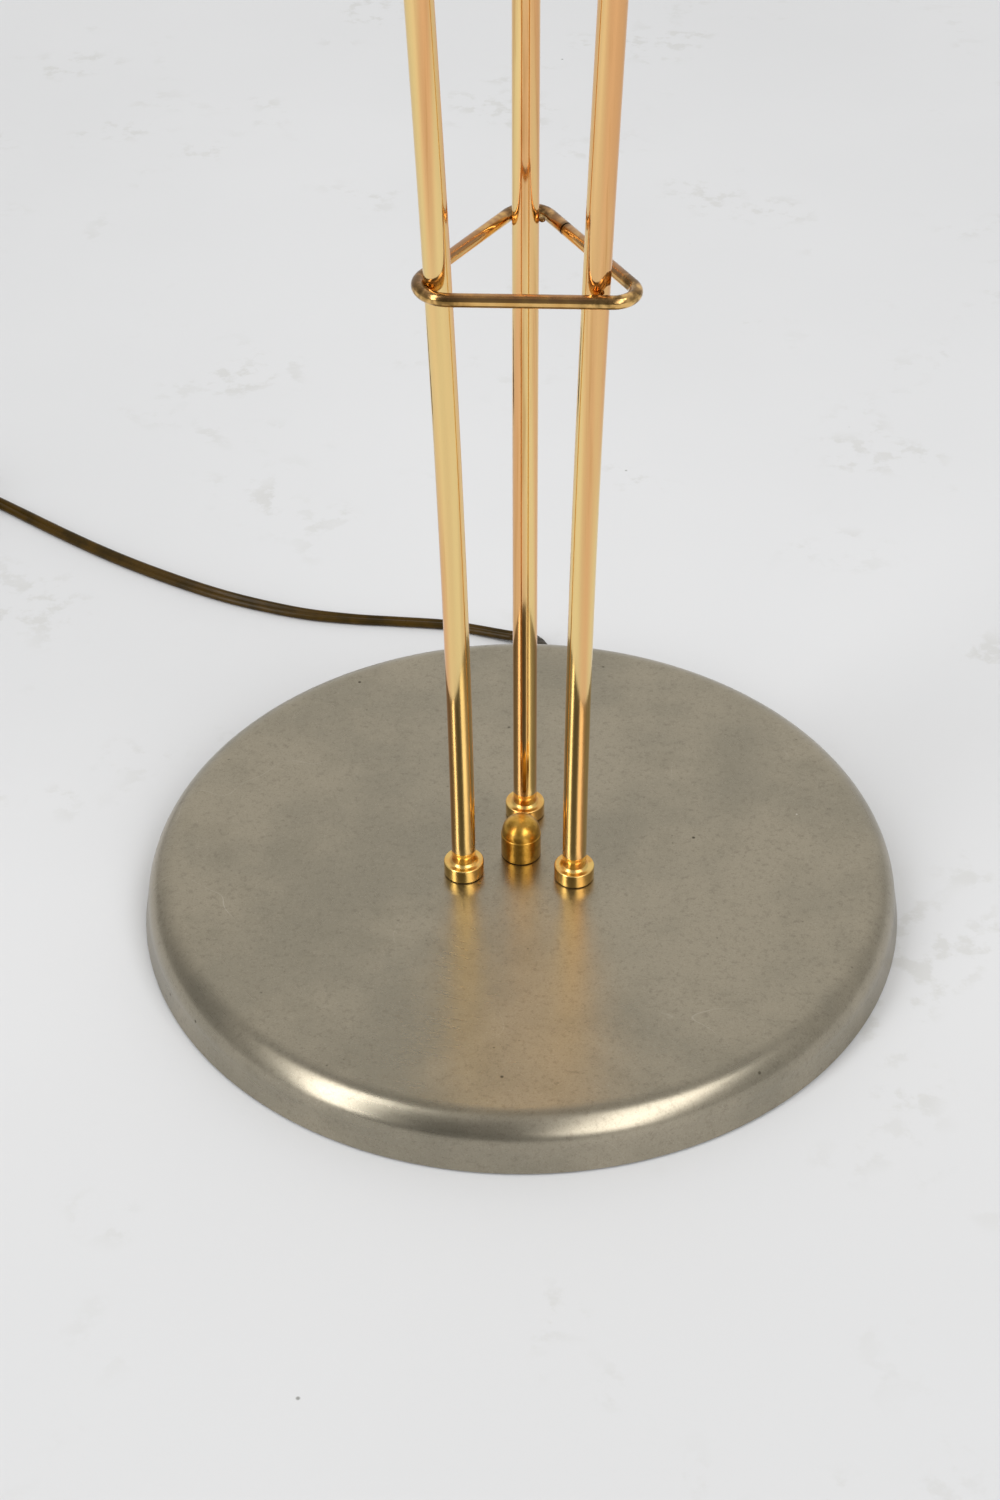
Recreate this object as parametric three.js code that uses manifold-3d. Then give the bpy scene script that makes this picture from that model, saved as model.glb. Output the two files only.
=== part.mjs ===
// Tripod floor lamp: three sprung brass stems between a round nickel base and a small nickel head,
// with a triangular brace ring low down, a lampholder with a turn switch, a harp and a drum shade.
// Units are millimetres, +Z is up, and the origin is the centre of the base on the floor.
import * as THREE from "three";
import { mergeVertices } from "three/addons/utils/BufferGeometryUtils.js";
import Module from "manifold-3d";

const wasm = await Module();
wasm.setup();

// ---------- driving dimensions ----------
const GAP = 0.3; // clearance between pieces that touch
const HOLE_SLACK = 0.5; // a hole is this much larger in radius than what passes through it

const BASE_RADIUS = 152.4;
const BASE_HEIGHT = 22.2;
const BASE_SHOULDER = 12; // rounding between the skirt and the flat top
const BASE_FLARE = 2; // how much wider the skirt is at the floor
const COVER_WALL = 1.5;
const SKIRT_LIFT = 0.8; // the skirt stops just above the floor
const FELT_RADIUS = 147.5;
const FELT_THICK = 1.6;
const WEIGHT_RADIUS = 147;
const CORD_HOLE_RADIUS = 4.6;
const POCKET_TOP = 14; // roof of the nut pockets in the weight
const POCKET_RADIUS = 11.5;
const CHANNEL_WIDTH = 9;
const CHANNEL_TOP = 11.6;

const STEM_RADIUS = 4.76;
const STEM_BORE = 3.9;
const STEM_FOOT_AT = 25.4; // distance of each stem from the axis at the base
const STEM_HEAD_AT = 66; // and at the head
const STEM_ANGLES = { rear: 90, left: 210, right: 330 };
const HEAD_Z = 1200; // underside of the head
const COLLAR_RADIUS = 7.95;
const COLLAR_HEIGHT = 6;
const NIPPLE_RADIUS = 3.4;
const NIPPLE_BORE = 2.7;
const NUT_HEIGHT = 3.4;
const NUT_RADIUS = 6.6; // across the corners

const CAP_NUT_RADIUS = 7.95;
const CAP_NUT_STRAIGHT = 10.6;
const CAP_NUT_DOME = 6.6;
const BOLT_RADIUS = 3.2;

const BRACE_Z = 284.6;
const BRACE_WIRE = 2.38;
const BRACE_BAR_AT = 25; // distance of each bar from the middle of the ring
const BRACE_CORNER = 8.6; // corner radius at the wire's centre
const BRACE_TURN = 1.5; // degrees, the ring is brazed on slightly turned
const BRACE_JOINT = 0.2; // where the rod's ends meet, as a part of the way round
const BRACE_JOINT_GAP = 0.001;
const BRACE_SHIFT = 1.75; // and over to one side, against the left stem

const HEAD_RADIUS = 90;
const HEAD_HEIGHT = 16;
const HEAD_WALL = 2;
const HEAD_EDGE = 9;
const HEAD_NUT = { radius: 9.5, straight: 9.5, dome: 6.6, depth: 10.5 };
const LID_Z = HEAD_Z + HEAD_HEIGHT + GAP;
const CENTRE_NIPPLE_RADIUS = 5;
const CENTRE_NIPPLE_BORE = 3.7;
const SADDLE_Z = LID_Z + HEAD_WALL + GAP;
const SADDLE_THICK = 2;
const SOCKET_Z = SADDLE_Z + SADDLE_THICK + GAP;
const SOCKET_RADIUS = 16.5;
const SOCKET_WALL = 0.8;
const SWITCH_Z = SOCKET_Z + 27;
const BULB_BASE_Z = SOCKET_Z + 39;
const BULB_GLASS_Z = BULB_BASE_Z + 26;
const BULB_RADIUS = 30;

const HARP_HALF_FOOT = 29;
const HARP_HALF_WIDTH = 57;
const HARP_FOOT_Z = 1248;
const HARP_TOP_Z = 1476;
const HARP_WIRE = 1.9;

const SHADE_BOTTOM_Z = 1226;
const SHADE_TOP_Z = 1502;
const SHADE_BOTTOM_RADIUS = 222;
const SHADE_TOP_RADIUS = 202;
const SHADE_WALL = 1.2;
const SHADE_WIRE = 1.6;

const CORD_WIDTH = 5.4; // flat two-core lamp cord
const CORD_THICK = 3;
const CORD_REST_Z = CORD_THICK / 2 + 0.1;
const CORD_EXIT = { x: -0.5, y: 154.5, z: 7, heading: 94 };
const CORD_TURN_RADIUS = 22.6;
const LEAD_RADIUS = 2.1; // the two cores inside the lamp, twisted together
const RELIEF_LENGTH = 20;

const COIL_CENTRE = [-330, 259];
const COIL_TURN = 38.2; // radius of the outermost turn's centre line
const COIL_INNER = 21;
const COIL_OUTER = 41.1;
const COIL_LOW = 0.1;
const COIL_HEIGHT = 12.6;
const COIL_MEETS = 21.5; // the cord lies this far along its tangent when it reaches the ring
const COIL_ENTRY = 60; // degrees round the coil
const COIL_EXIT = 200;
const TAIL_LENGTH = 40;
const PLUG = { width: 25, neck: 11, length: 31, thick: 13, blade: 17.5, apart: 12.7 };

const FINE = 36; // sides of the large turned pieces
const PLAIN = 20; // and of the small ones

// ---------- helpers ----------
const rad = THREE.MathUtils.degToRad;

function clean(geometry) {
  const bare = geometry.clone();
  bare.deleteAttribute("normal");
  bare.deleteAttribute("uv");
  const merged = mergeVertices(bare, 1e-4);
  const index = merged.index.array;
  const position = merged.attributes.position;
  const a = new THREE.Vector3();
  const b = new THREE.Vector3();
  const c = new THREE.Vector3();
  const kept = [];
  let volume = 0;
  for (let i = 0; i < index.length; i += 3) {
    const [p, q, r] = [index[i], index[i + 1], index[i + 2]];
    if (p === q || q === r || r === p) continue;
    kept.push(p, q, r);
    a.fromBufferAttribute(position, p);
    b.fromBufferAttribute(position, q);
    c.fromBufferAttribute(position, r);
    volume += a.dot(b.cross(c));
  }
  if (volume < 0) kept.reverse();
  merged.setIndex(kept);
  return merged;
}

function toManifold(geometry) {
  const merged = clean(geometry);
  const mesh = new wasm.Mesh({
    numProp: 3,
    vertProperties: new Float32Array(merged.attributes.position.array),
    triVerts: new Uint32Array(merged.index.array),
  });
  return new wasm.Manifold(mesh);
}

function fromManifold(manifold) {
  const mesh = manifold.getMesh();
  const geometry = new THREE.BufferGeometry();
  geometry.setAttribute("position", new THREE.BufferAttribute(mesh.vertProperties, 3));
  geometry.setIndex(new THREE.BufferAttribute(mesh.triVerts, 1));
  return geometry;
}

function cut(geometry, ...tools) {
  const whole = toManifold(geometry);
  return fromManifold(tools.reduce((left, tool) => left.subtract(toManifold(tool)), whole));
}

function join(geometry, ...others) {
  const first = toManifold(geometry);
  return fromManifold(others.reduce((sum, other) => sum.add(toManifold(other)), first));
}

// A turned piece: profile points are [radius, height], and the axis is Z.
function lathe(profile, sides = PLAIN) {
  const points = profile.map(([r, z]) => new THREE.Vector2(r, z));
  const geometry = clean(new THREE.LatheGeometry(points, sides));
  return geometry.rotateX(Math.PI / 2);
}

// The same for a ring, whose profile closes on itself.
function ring(profile, sides = PLAIN) {
  return lathe([...profile, profile[0]], sides);
}

function arc(centreR, centreZ, radius, fromDeg, toDeg, steps) {
  const points = [];
  for (let i = 0; i <= steps; i += 1) {
    const angle = rad(fromDeg + ((toDeg - fromDeg) * i) / steps);
    points.push([centreR + radius * Math.cos(angle), centreZ + radius * Math.sin(angle)]);
  }
  return points;
}

// A cylinder or hexagon standing on z = low.
function post(radius, low, high, sides = 12) {
  const geometry = new THREE.CylinderGeometry(radius, radius, high - low, sides);
  return geometry.rotateX(Math.PI / 2).translate(0, 0, (low + high) / 2);
}

function block(low, high) {
  const size = high.map((value, i) => value - low[i]);
  const middle = high.map((value, i) => (value + low[i]) / 2);
  return new THREE.BoxGeometry(...size).translate(...middle);
}

function washer(inner, outer, low, high, sides = PLAIN) {
  return ring([[inner, low], [outer, low], [outer, high], [inner, high]], sides);
}

function polygon(radiusX, radiusY, sides) {
  const points = [];
  for (let i = 0; i < sides; i += 1) {
    const angle = ((i + 0.5) * 2 * Math.PI) / sides;
    points.push(new THREE.Vector2(radiusX * Math.cos(angle), radiusY * Math.sin(angle)));
  }
  return points;
}

// A solid or hollow tube along a curve.
function tube(curve, steps, section, hole = null) {
  const shape = new THREE.Shape(section);
  if (hole) shape.holes.push(new THREE.Path(hole));
  return new THREE.ExtrudeGeometry(shape, { steps, bevelEnabled: false, extrudePath: curve });
}

// A smooth path whose sections stand at its own points, close together only where it bends.
class PointPath extends THREE.CatmullRomCurve3 {
  constructor(points) {
    super(points, false, "centripetal");
  }

  getPointAt(u, target) {
    return this.getPoint(u, target);
  }

  getTangentAt(u, target) {
    return this.getTangent(u, target);
  }

  getSpacedPoints(steps) {
    return this.getPoints(steps);
  }
}

function tubeThrough(points, section, stepsEach = 1) {
  return tube(new PointPath(points), (points.length - 1) * stepsEach, section);
}

const smooth = (t) => t * t * (3 - 2 * t);
const vectors = (list) => list.map((point) => new THREE.Vector3(...point));

// ---------- finishes ----------
const finishes = {
  nickel: [0x9a9184, 0.38, 1],
  brass: [0xe3b565, 0.16, 1],
  satin_brass: [0xb98a35, 0.35, 1],
  steel: [0x8d8d8c, 0.45, 1],
  cast_iron: [0x2e2d2c, 0.75, 0.6],
  felt: [0x23241f, 0.95, 0],
  cord: [0x4a3c20, 0.5, 0],
  rubber: [0x2b2416, 0.6, 0],
  plug: [0x3d3019, 0.45, 0],
  phenolic: [0x17140f, 0.4, 0],
  card: [0x8d7a55, 0.9, 0],
  opal_glass: [0xf4f1e8, 0.3, 0],
  linen: [0xe9e2d2, 0.9, 0],
};

const lamp = new THREE.Group();

function add(name, geometry, finish, parent = lamp) {
  const [color, roughness, metalness] = finishes[finish];
  const material = new THREE.MeshStandardMaterial({ color, roughness, metalness });
  const mesh = new THREE.Mesh(clean(geometry), material);
  mesh.name = name;
  parent.add(mesh);
  return mesh;
}

// ---------- base ----------
function aroundStems(makeTool) {
  return Object.values(STEM_ANGLES).map((degrees) => {
    const angle = rad(degrees);
    return makeTool().translate(STEM_FOOT_AT * Math.cos(angle), STEM_FOOT_AT * Math.sin(angle), 0);
  });
}

function baseCover() {
  const shoulderR = BASE_RADIUS - BASE_FLARE - BASE_SHOULDER;
  const shoulderZ = BASE_HEIGHT - BASE_SHOULDER;
  const inner = BASE_SHOULDER - COVER_WALL;
  const profile = [
    [0, BASE_HEIGHT],
    ...arc(shoulderR, shoulderZ, BASE_SHOULDER, 90, 0, 5),
    [BASE_RADIUS, SKIRT_LIFT],
    [BASE_RADIUS - COVER_WALL, SKIRT_LIFT],
    ...arc(shoulderR, shoulderZ, inner, 0, 90, 3),
    [0, BASE_HEIGHT - COVER_WALL],
  ];
  const cordHole = new THREE.CylinderGeometry(CORD_HOLE_RADIUS, CORD_HOLE_RADIUS, 16, 16);
  cordHole.translate(0, BASE_RADIUS, CORD_EXIT.z);
  return cut(
    lathe(profile, FINE),
    post(BOLT_RADIUS + HOLE_SLACK, 15, 30),
    ...aroundStems(() => post(NIPPLE_RADIUS + HOLE_SLACK, 15, 30)),
    cordHole,
  );
}

function baseWeight() {
  const low = FELT_THICK + GAP;
  const high = BASE_HEIGHT - COVER_WALL - GAP;
  const profile = [
    [0, low],
    [WEIGHT_RADIUS - 0.2, low],
    [WEIGHT_RADIUS, 9.5],
    [WEIGHT_RADIUS - 3.5, 17],
    [WEIGHT_RADIUS - 9, high],
    [0, high],
  ];
  const body = lathe(profile, FINE);
  const pocket = () => post(POCKET_RADIUS, 0, POCKET_TOP, 16);
  const channel = block([-CHANNEL_WIDTH / 2, 20, 0], [CHANNEL_WIDTH / 2, 160, CHANNEL_TOP]);
  return cut(
    body,
    post(BOLT_RADIUS + HOLE_SLACK, 0, 30),
    pocket(),
    ...aroundStems(() => post(NIPPLE_RADIUS + HOLE_SLACK, 0, 30)),
    ...aroundStems(pocket),
    channel,
  );
}

// A domed blind nut standing on z = 0: a straight barrel, a fine step and a dome.
function capNut(radius, straight, dome, bore, depth) {
  const step = 0.7;
  const domeRadius = radius - step;
  const profile = [
    [bore, 0],
    [radius, 0],
    [radius, straight - 0.4],
    [domeRadius, straight],
  ];
  for (let i = 1; i <= 4; i += 1) {
    const angle = (i * Math.PI) / 8;
    profile.push([domeRadius * Math.cos(angle), straight + dome * Math.sin(angle)]);
  }
  profile[profile.length - 1][0] = 0;
  return lathe([[0, depth], [bore, depth], ...profile], 24);
}

function baseParts() {
  add("base_cover", baseCover(), "nickel");
  add("base_weight", baseWeight(), "cast_iron");
  const pad = [[0, 0], [FELT_RADIUS, 0], [FELT_RADIUS, FELT_THICK], [0, FELT_THICK]];
  add("base_felt_pad", lathe(pad, FINE), "felt");
  const head = post(NUT_RADIUS + 1, 6, POCKET_TOP - 2.6, 6);
  const shank = post(BOLT_RADIUS, 8, BASE_HEIGHT + 11.5);
  add("centre_bolt", join(head, shank), "steel");
  add("centre_washer", washer(BOLT_RADIUS + GAP, 10.5, POCKET_TOP - 2.3, POCKET_TOP - GAP), "steel");
  const nut = capNut(CAP_NUT_RADIUS, CAP_NUT_STRAIGHT, CAP_NUT_DOME, BOLT_RADIUS + GAP, 12.4);
  add("centre_cap_nut", nut, "satin_brass").position.z = BASE_HEIGHT + GAP;
}

// ---------- stems ----------
// Each stem stands square to the base and to the head, and springs outwards between them.
function stemRadiusAt(z) {
  const t = THREE.MathUtils.clamp((z - BASE_HEIGHT) / (HEAD_Z - BASE_HEIGHT), 0, 1);
  return STEM_FOOT_AT + (STEM_HEAD_AT - STEM_FOOT_AT) * smooth(t);
}

class StemCurve extends THREE.Curve {
  getPoint(t, target = new THREE.Vector3()) {
    const z = THREE.MathUtils.lerp(BASE_HEIGHT + GAP, HEAD_Z - GAP, t);
    return target.set(stemRadiusAt(z), 0, z);
  }
}

// A collar standing on z = 0, dished round the stem.
function collar() {
  const inner = STEM_RADIUS + GAP;
  return ring([
    [inner, 0],
    [COLLAR_RADIUS, 0],
    [COLLAR_RADIUS, COLLAR_HEIGHT - 0.7],
    [COLLAR_RADIUS - 0.7, COLLAR_HEIGHT],
    [inner, COLLAR_HEIGHT - 1.4],
  ]);
}

function nipple(low, high) {
  return washer(NIPPLE_BORE, NIPPLE_RADIUS, low, high, 12);
}

function lockNut() {
  return cut(post(NUT_RADIUS, 0, NUT_HEIGHT, 6), post(NIPPLE_RADIUS + 2 * GAP, -1, NUT_HEIGHT + 1, 10));
}

function stemParts(side, degrees) {
  const group = new THREE.Group();
  group.rotation.z = rad(degrees);
  lamp.add(group);
  const outer = polygon(STEM_RADIUS, STEM_RADIUS, 12);
  const inner = polygon(STEM_BORE, STEM_BORE, 8);
  add(`stem_${side}`, tube(new StemCurve(), 14, outer, inner), "brass", group);
  add(`foot_collar_${side}`, collar(), "brass", group).position.set(STEM_FOOT_AT, 0, BASE_HEIGHT + GAP);
  add(`foot_nipple_${side}`, nipple(10, BASE_HEIGHT + 12), "steel", group).position.x = STEM_FOOT_AT;
  const footNut = add(`foot_nut_${side}`, lockNut(), "steel", group);
  footNut.position.set(STEM_FOOT_AT, 0, POCKET_TOP - GAP - NUT_HEIGHT);
  const headCollar = add(`head_collar_${side}`, collar(), "brass", group);
  headCollar.rotation.x = Math.PI;
  headCollar.position.set(STEM_HEAD_AT, 0, HEAD_Z - GAP);
  add(`head_nipple_${side}`, nipple(HEAD_Z - 12, HEAD_Z + 6.4), "steel", group).position.x = STEM_HEAD_AT;
  const headNut = add(`head_nut_${side}`, lockNut(), "steel", group);
  headNut.position.set(STEM_HEAD_AT, 0, HEAD_Z + HEAD_WALL + GAP);
}

// The ring is a rod bent into a triangle with round corners, from one end of the rod to the other.
class BraceCurve extends THREE.Curve {
  getPoint(t, target = new THREE.Vector3()) {
    const cornerAt = 2 * (BRACE_BAR_AT - BRACE_CORNER);
    const bar = cornerAt * Math.sqrt(3);
    const side = bar + (2 * Math.PI * BRACE_CORNER) / 3;
    const along = (BRACE_JOINT + t * (1 - BRACE_JOINT_GAP)) * 3 * side;
    const corner = Math.floor(along / side);
    const rest = along - corner * side;
    const normal = rad(30 + 120 * corner);
    if (rest < bar) {
      const shift = rest - bar / 2;
      const x = BRACE_BAR_AT * Math.cos(normal) - shift * Math.sin(normal);
      const y = BRACE_BAR_AT * Math.sin(normal) + shift * Math.cos(normal);
      return target.set(x, y, 0);
    }
    const middle = normal + Math.PI / 3;
    const turn = normal + (rest - bar) / BRACE_CORNER;
    const x = cornerAt * Math.cos(middle) + BRACE_CORNER * Math.cos(turn);
    const y = cornerAt * Math.sin(middle) + BRACE_CORNER * Math.sin(turn);
    return target.set(x, y, 0);
  }
}

// The rod's two ends meet in a butt joint on one bar.
function braceRing() {
  const wire = tube(new BraceCurve(), 42, polygon(BRACE_WIRE, BRACE_WIRE, 8));
  const mesh = add("brace_ring", wire, "brass");
  mesh.rotation.z = rad(BRACE_TURN);
  mesh.position.set(BRACE_SHIFT, 0, BRACE_Z);
}

// ---------- supply cord ----------
// The first stretch leaves the skirt and turns left while it drops to the floor.
function cordStart(s) {
  const heading = rad(CORD_EXIT.heading) + s / CORD_TURN_RADIUS;
  const begin = rad(CORD_EXIT.heading);
  const x = CORD_EXIT.x + CORD_TURN_RADIUS * (Math.sin(heading) - Math.sin(begin));
  const y = CORD_EXIT.y - CORD_TURN_RADIUS * (Math.cos(heading) - Math.cos(begin));
  const drop = smooth(Math.min(s / 40, 1));
  const z = THREE.MathUtils.lerp(CORD_EXIT.z, CORD_REST_Z, drop);
  return { point: new THREE.Vector3(x, y, z), heading };
}

// A tapered sleeve that bends with the cord.
function strainRelief() {
  const steps = 6;
  const profile = [[0, 0], [4.3, 0]];
  for (let i = 1; i <= steps; i += 1) {
    profile.push([4.3 - (1.3 * i) / steps, (RELIEF_LENGTH * i) / steps]);
  }
  profile.push([0, RELIEF_LENGTH]);
  const geometry = lathe(profile, 12);
  const position = geometry.attributes.position;
  for (let i = 0; i < position.count; i += 1) {
    const { point, heading } = cordStart(position.getZ(i));
    const across = position.getX(i);
    const x = point.x + across * Math.sin(heading);
    const y = point.y - across * Math.cos(heading);
    position.setXYZ(i, x, y, point.z + position.getY(i));
  }
  return geometry;
}

// A rubber bush in the skirt, with its flange outside.
function cordBushing() {
  const profile = [[0, -8.5], [4.1, -8.5], [4.1, GAP], [5.6, GAP], [5.6, 0.9], [5, 1.4], [0, 1.4]];
  const geometry = lathe(profile, 12).rotateX(-Math.PI / 2);
  return geometry.translate(0, BASE_RADIUS, CORD_EXIT.z);
}

// The route across the floor, up to the coil.
const floorRoute = [
  [-36.3, 180.6], [-48.5, 183], [-71.8, 184], [-92, 184.6], [-114, 187], [-137, 192.8], [-160, 201],
  [-188, 214.4], [-216, 230], [-247, 250], [-279, 272.5],
];

// Where the cord touches the coil at an angle round it, and its heading there.
function onCoil(degrees) {
  const angle = rad(degrees);
  const [x, y] = COIL_CENTRE;
  const foot = new THREE.Vector2(x + COIL_TURN * Math.cos(angle), y + COIL_TURN * Math.sin(angle));
  const along = new THREE.Vector2(-Math.sin(angle), Math.cos(angle));
  return { foot, along };
}

// The flat cord's section, an octagon whose flats stand at its width and thickness.
const toFlats = Math.cos(Math.PI / 8);
const cordSection = polygon(CORD_THICK / 2 / toFlats, CORD_WIDTH / 2 / toFlats, 8);

function supplyCord() {
  const points = [];
  for (let s = RELIEF_LENGTH + 2 * GAP; s < 30; s += 4) points.push(cordStart(s).point);
  for (const [x, y] of floorRoute) points.push(new THREE.Vector3(x, y, CORD_REST_Z));
  const { foot, along } = onCoil(COIL_ENTRY);
  const end = foot.addScaledVector(along, -COIL_MEETS);
  points.push(new THREE.Vector3(end.x, end.y, CORD_REST_Z));
  return tubeThrough(points, cordSection, 2);
}

function cordTail() {
  const { foot, along } = onCoil(COIL_EXIT);
  const top = COIL_HEIGHT - CORD_THICK / 2;
  const pointAt = (s) => {
    const place = foot.clone().addScaledVector(along, s);
    const z = THREE.MathUtils.lerp(top, PLUG.thick / 2, smooth(s / TAIL_LENGTH));
    return new THREE.Vector3(place.x, place.y, z);
  };
  const points = [0, 0.25, 0.5, 0.75, 1].map((t) => {
    return pointAt(THREE.MathUtils.lerp(COIL_MEETS + GAP, TAIL_LENGTH - GAP, t));
  });
  return tubeThrough(points, cordSection);
}

function cordCoil() {
  const coil = washer(COIL_INNER, COIL_OUTER, COIL_LOW, COIL_HEIGHT, 28);
  return coil.translate(...COIL_CENTRE, 0);
}

function plugParts() {
  const { foot, along } = onCoil(COIL_EXIT);
  const plug = new THREE.Group();
  const place = foot.addScaledVector(along, TAIL_LENGTH);
  plug.position.set(place.x, place.y, 0.1);
  plug.rotation.z = Math.atan2(along.y, along.x);
  lamp.add(plug);
  const outline = [
    [0, -PLUG.neck / 2], [8, -PLUG.neck / 2 - 1], [15, -PLUG.width / 2], [PLUG.length, -PLUG.width / 2],
    [PLUG.length, PLUG.width / 2], [15, PLUG.width / 2], [8, PLUG.neck / 2 + 1], [0, PLUG.neck / 2],
  ];
  const shape = new THREE.Shape(outline.map(([x, y]) => new THREE.Vector2(x, y)));
  const body = new THREE.ExtrudeGeometry(shape, { depth: PLUG.thick, bevelEnabled: false });
  add("plug_body", body, "plug", plug);
  for (const [name, side] of [["left", 1], ["right", -1]]) {
    const middle = (side * PLUG.apart) / 2;
    const low = [PLUG.length + GAP, middle - 0.75, PLUG.thick / 2 - 3.2];
    const high = [PLUG.length + PLUG.blade, middle + 0.75, PLUG.thick / 2 + 3.2];
    add(`plug_blade_${name}`, block(low, high), "brass", plug);
  }
}

// The two cores run under the weight, up the rear stem, through the head and into the lampholder.
function innerLead() {
  const points = vectors([
    [0, BASE_RADIUS - 8.8, CORD_EXIT.z],
    [0, 130, 6],
    [0, 100, 4.6],
    [0, 60, 4.5],
    [0, STEM_FOOT_AT + 8, 4.6],
    [0, STEM_FOOT_AT + 1.4, 7],
    [0, STEM_FOOT_AT, 12],
  ]);
  const stretches = 16;
  for (let i = 0; i <= stretches; i += 1) {
    const z = THREE.MathUtils.lerp(BASE_HEIGHT, HEAD_Z, i / stretches);
    points.push(new THREE.Vector3(0, stemRadiusAt(z), z));
  }
  points.push(...vectors([
    [0, STEM_HEAD_AT, HEAD_Z + 7.8],
    [0, STEM_HEAD_AT - 3.2, HEAD_Z + 11.4],
    [0, STEM_HEAD_AT - 12, HEAD_Z + 12],
    [0, 30, HEAD_Z + 10.5],
    [0, 11, HEAD_Z + 8],
    [0, 3.5, HEAD_Z + 9],
    [0, 0.6, HEAD_Z + 14],
    [0, 0, HEAD_Z + 22],
    [0, 0, SOCKET_Z + 16],
  ]));
  return tubeThrough(points, polygon(LEAD_RADIUS, LEAD_RADIUS, 6));
}

function cordParts() {
  add("cord_bushing", cordBushing(), "rubber");
  add("cord_strain_relief", strainRelief(), "rubber");
  add("supply_cord", supplyCord(), "cord");
  add("cord_coil", cordCoil(), "cord");
  add("cord_tail", cordTail(), "cord");
  plugParts();
  add("inner_lead", innerLead(), "cord");
}

// ---------- head ----------
function headPan() {
  const edgeR = HEAD_RADIUS - HEAD_EDGE;
  const edgeZ = HEAD_Z + HEAD_EDGE;
  const profile = [
    [0, HEAD_Z],
    ...arc(edgeR, edgeZ, HEAD_EDGE, -90, 0, 4),
    [HEAD_RADIUS, HEAD_Z + HEAD_HEIGHT],
    [HEAD_RADIUS - HEAD_WALL, HEAD_Z + HEAD_HEIGHT],
    ...arc(edgeR, edgeZ, HEAD_EDGE - HEAD_WALL, 0, -90, 3),
    [0, HEAD_Z + HEAD_WALL],
  ];
  const holes = Object.values(STEM_ANGLES).map((degrees) => {
    const angle = rad(degrees);
    const hole = post(NIPPLE_RADIUS + HOLE_SLACK, HEAD_Z - 5, HEAD_Z + 6);
    return hole.translate(STEM_HEAD_AT * Math.cos(angle), STEM_HEAD_AT * Math.sin(angle), 0);
  });
  const middle = post(CENTRE_NIPPLE_RADIUS + 2 * GAP, HEAD_Z - 5, HEAD_Z + 6);
  return cut(lathe(profile, FINE), middle, ...holes);
}

function headLid() {
  const top = LID_Z + HEAD_WALL;
  const chamfer = 0.7;
  const profile = [
    [0, LID_Z],
    [HEAD_RADIUS, LID_Z],
    [HEAD_RADIUS, top - chamfer],
    [HEAD_RADIUS - chamfer, top],
    [0, top],
  ];
  return cut(lathe(profile, FINE), post(CENTRE_NIPPLE_RADIUS + 2 * GAP, LID_Z - 5, LID_Z + 6));
}

// The threaded tube that clamps the head together has a window for the lead.
function centreNipple() {
  const whole = washer(CENTRE_NIPPLE_BORE, CENTRE_NIPPLE_RADIUS, HEAD_Z - 9, SOCKET_Z + 10, 16);
  return cut(whole, block([-3, 0.5, HEAD_Z + 4], [3, 8, LID_Z - 1]));
}

function headParts() {
  add("head_pan", headPan(), "nickel");
  add("head_lid", headLid(), "nickel");
  add("head_centre_nipple", centreNipple(), "steel");
  const { radius, straight, dome, depth } = HEAD_NUT;
  const nut = capNut(radius, straight, dome, CENTRE_NIPPLE_RADIUS + GAP, depth);
  const placed = add("head_cap_nut", nut, "satin_brass");
  placed.rotation.x = Math.PI;
  placed.position.z = HEAD_Z - GAP;
}

// ---------- lampholder and switch ----------
function socketCap() {
  const profile = [
    [CENTRE_NIPPLE_RADIUS + GAP, SOCKET_Z],
    [9, SOCKET_Z],
    [15.5, SOCKET_Z + 4],
    [SOCKET_RADIUS + 1, SOCKET_Z + 9],
    [SOCKET_RADIUS + 1, SOCKET_Z + 17],
    [SOCKET_RADIUS - 0.2, SOCKET_Z + 17],
    [SOCKET_RADIUS - 0.2, SOCKET_Z + 9.6],
    [14.4, SOCKET_Z + 5.2],
    [8.5, SOCKET_Z + 1.4],
    [CENTRE_NIPPLE_RADIUS + GAP, SOCKET_Z + 1.4],
  ];
  return ring(profile);
}

// A tube wall with a hole in its front for the switch spindle.
function drilledSleeve(inner, outer, low, high) {
  const hole = new THREE.CylinderGeometry(3, 3, outer, 16).translate(0, -outer, SWITCH_Z);
  return cut(washer(inner, outer, low, high), hole);
}

function bulbGlass() {
  const wall = 1;
  const centre = 51;
  const outline = [[12.6, 0], [13.4, 6], [17, 18], [24, 31], [28.8, 42], [BULB_RADIUS, centre]];
  for (let i = 1; i <= 4; i += 1) {
    const angle = (i * Math.PI) / 8;
    outline.push([BULB_RADIUS * Math.cos(angle), centre + BULB_RADIUS * Math.sin(angle)]);
  }
  outline[outline.length - 1][0] = 0;
  const inside = outline.map(([r, z], i) => {
    if (i === 0) return [r - wall, z];
    return r === 0 ? [0, z - wall] : [r - wall, z > centre ? z - wall * 0.7 : z];
  });
  return lathe([...outline.reverse(), ...inside]).translate(0, 0, BULB_GLASS_Z);
}

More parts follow.
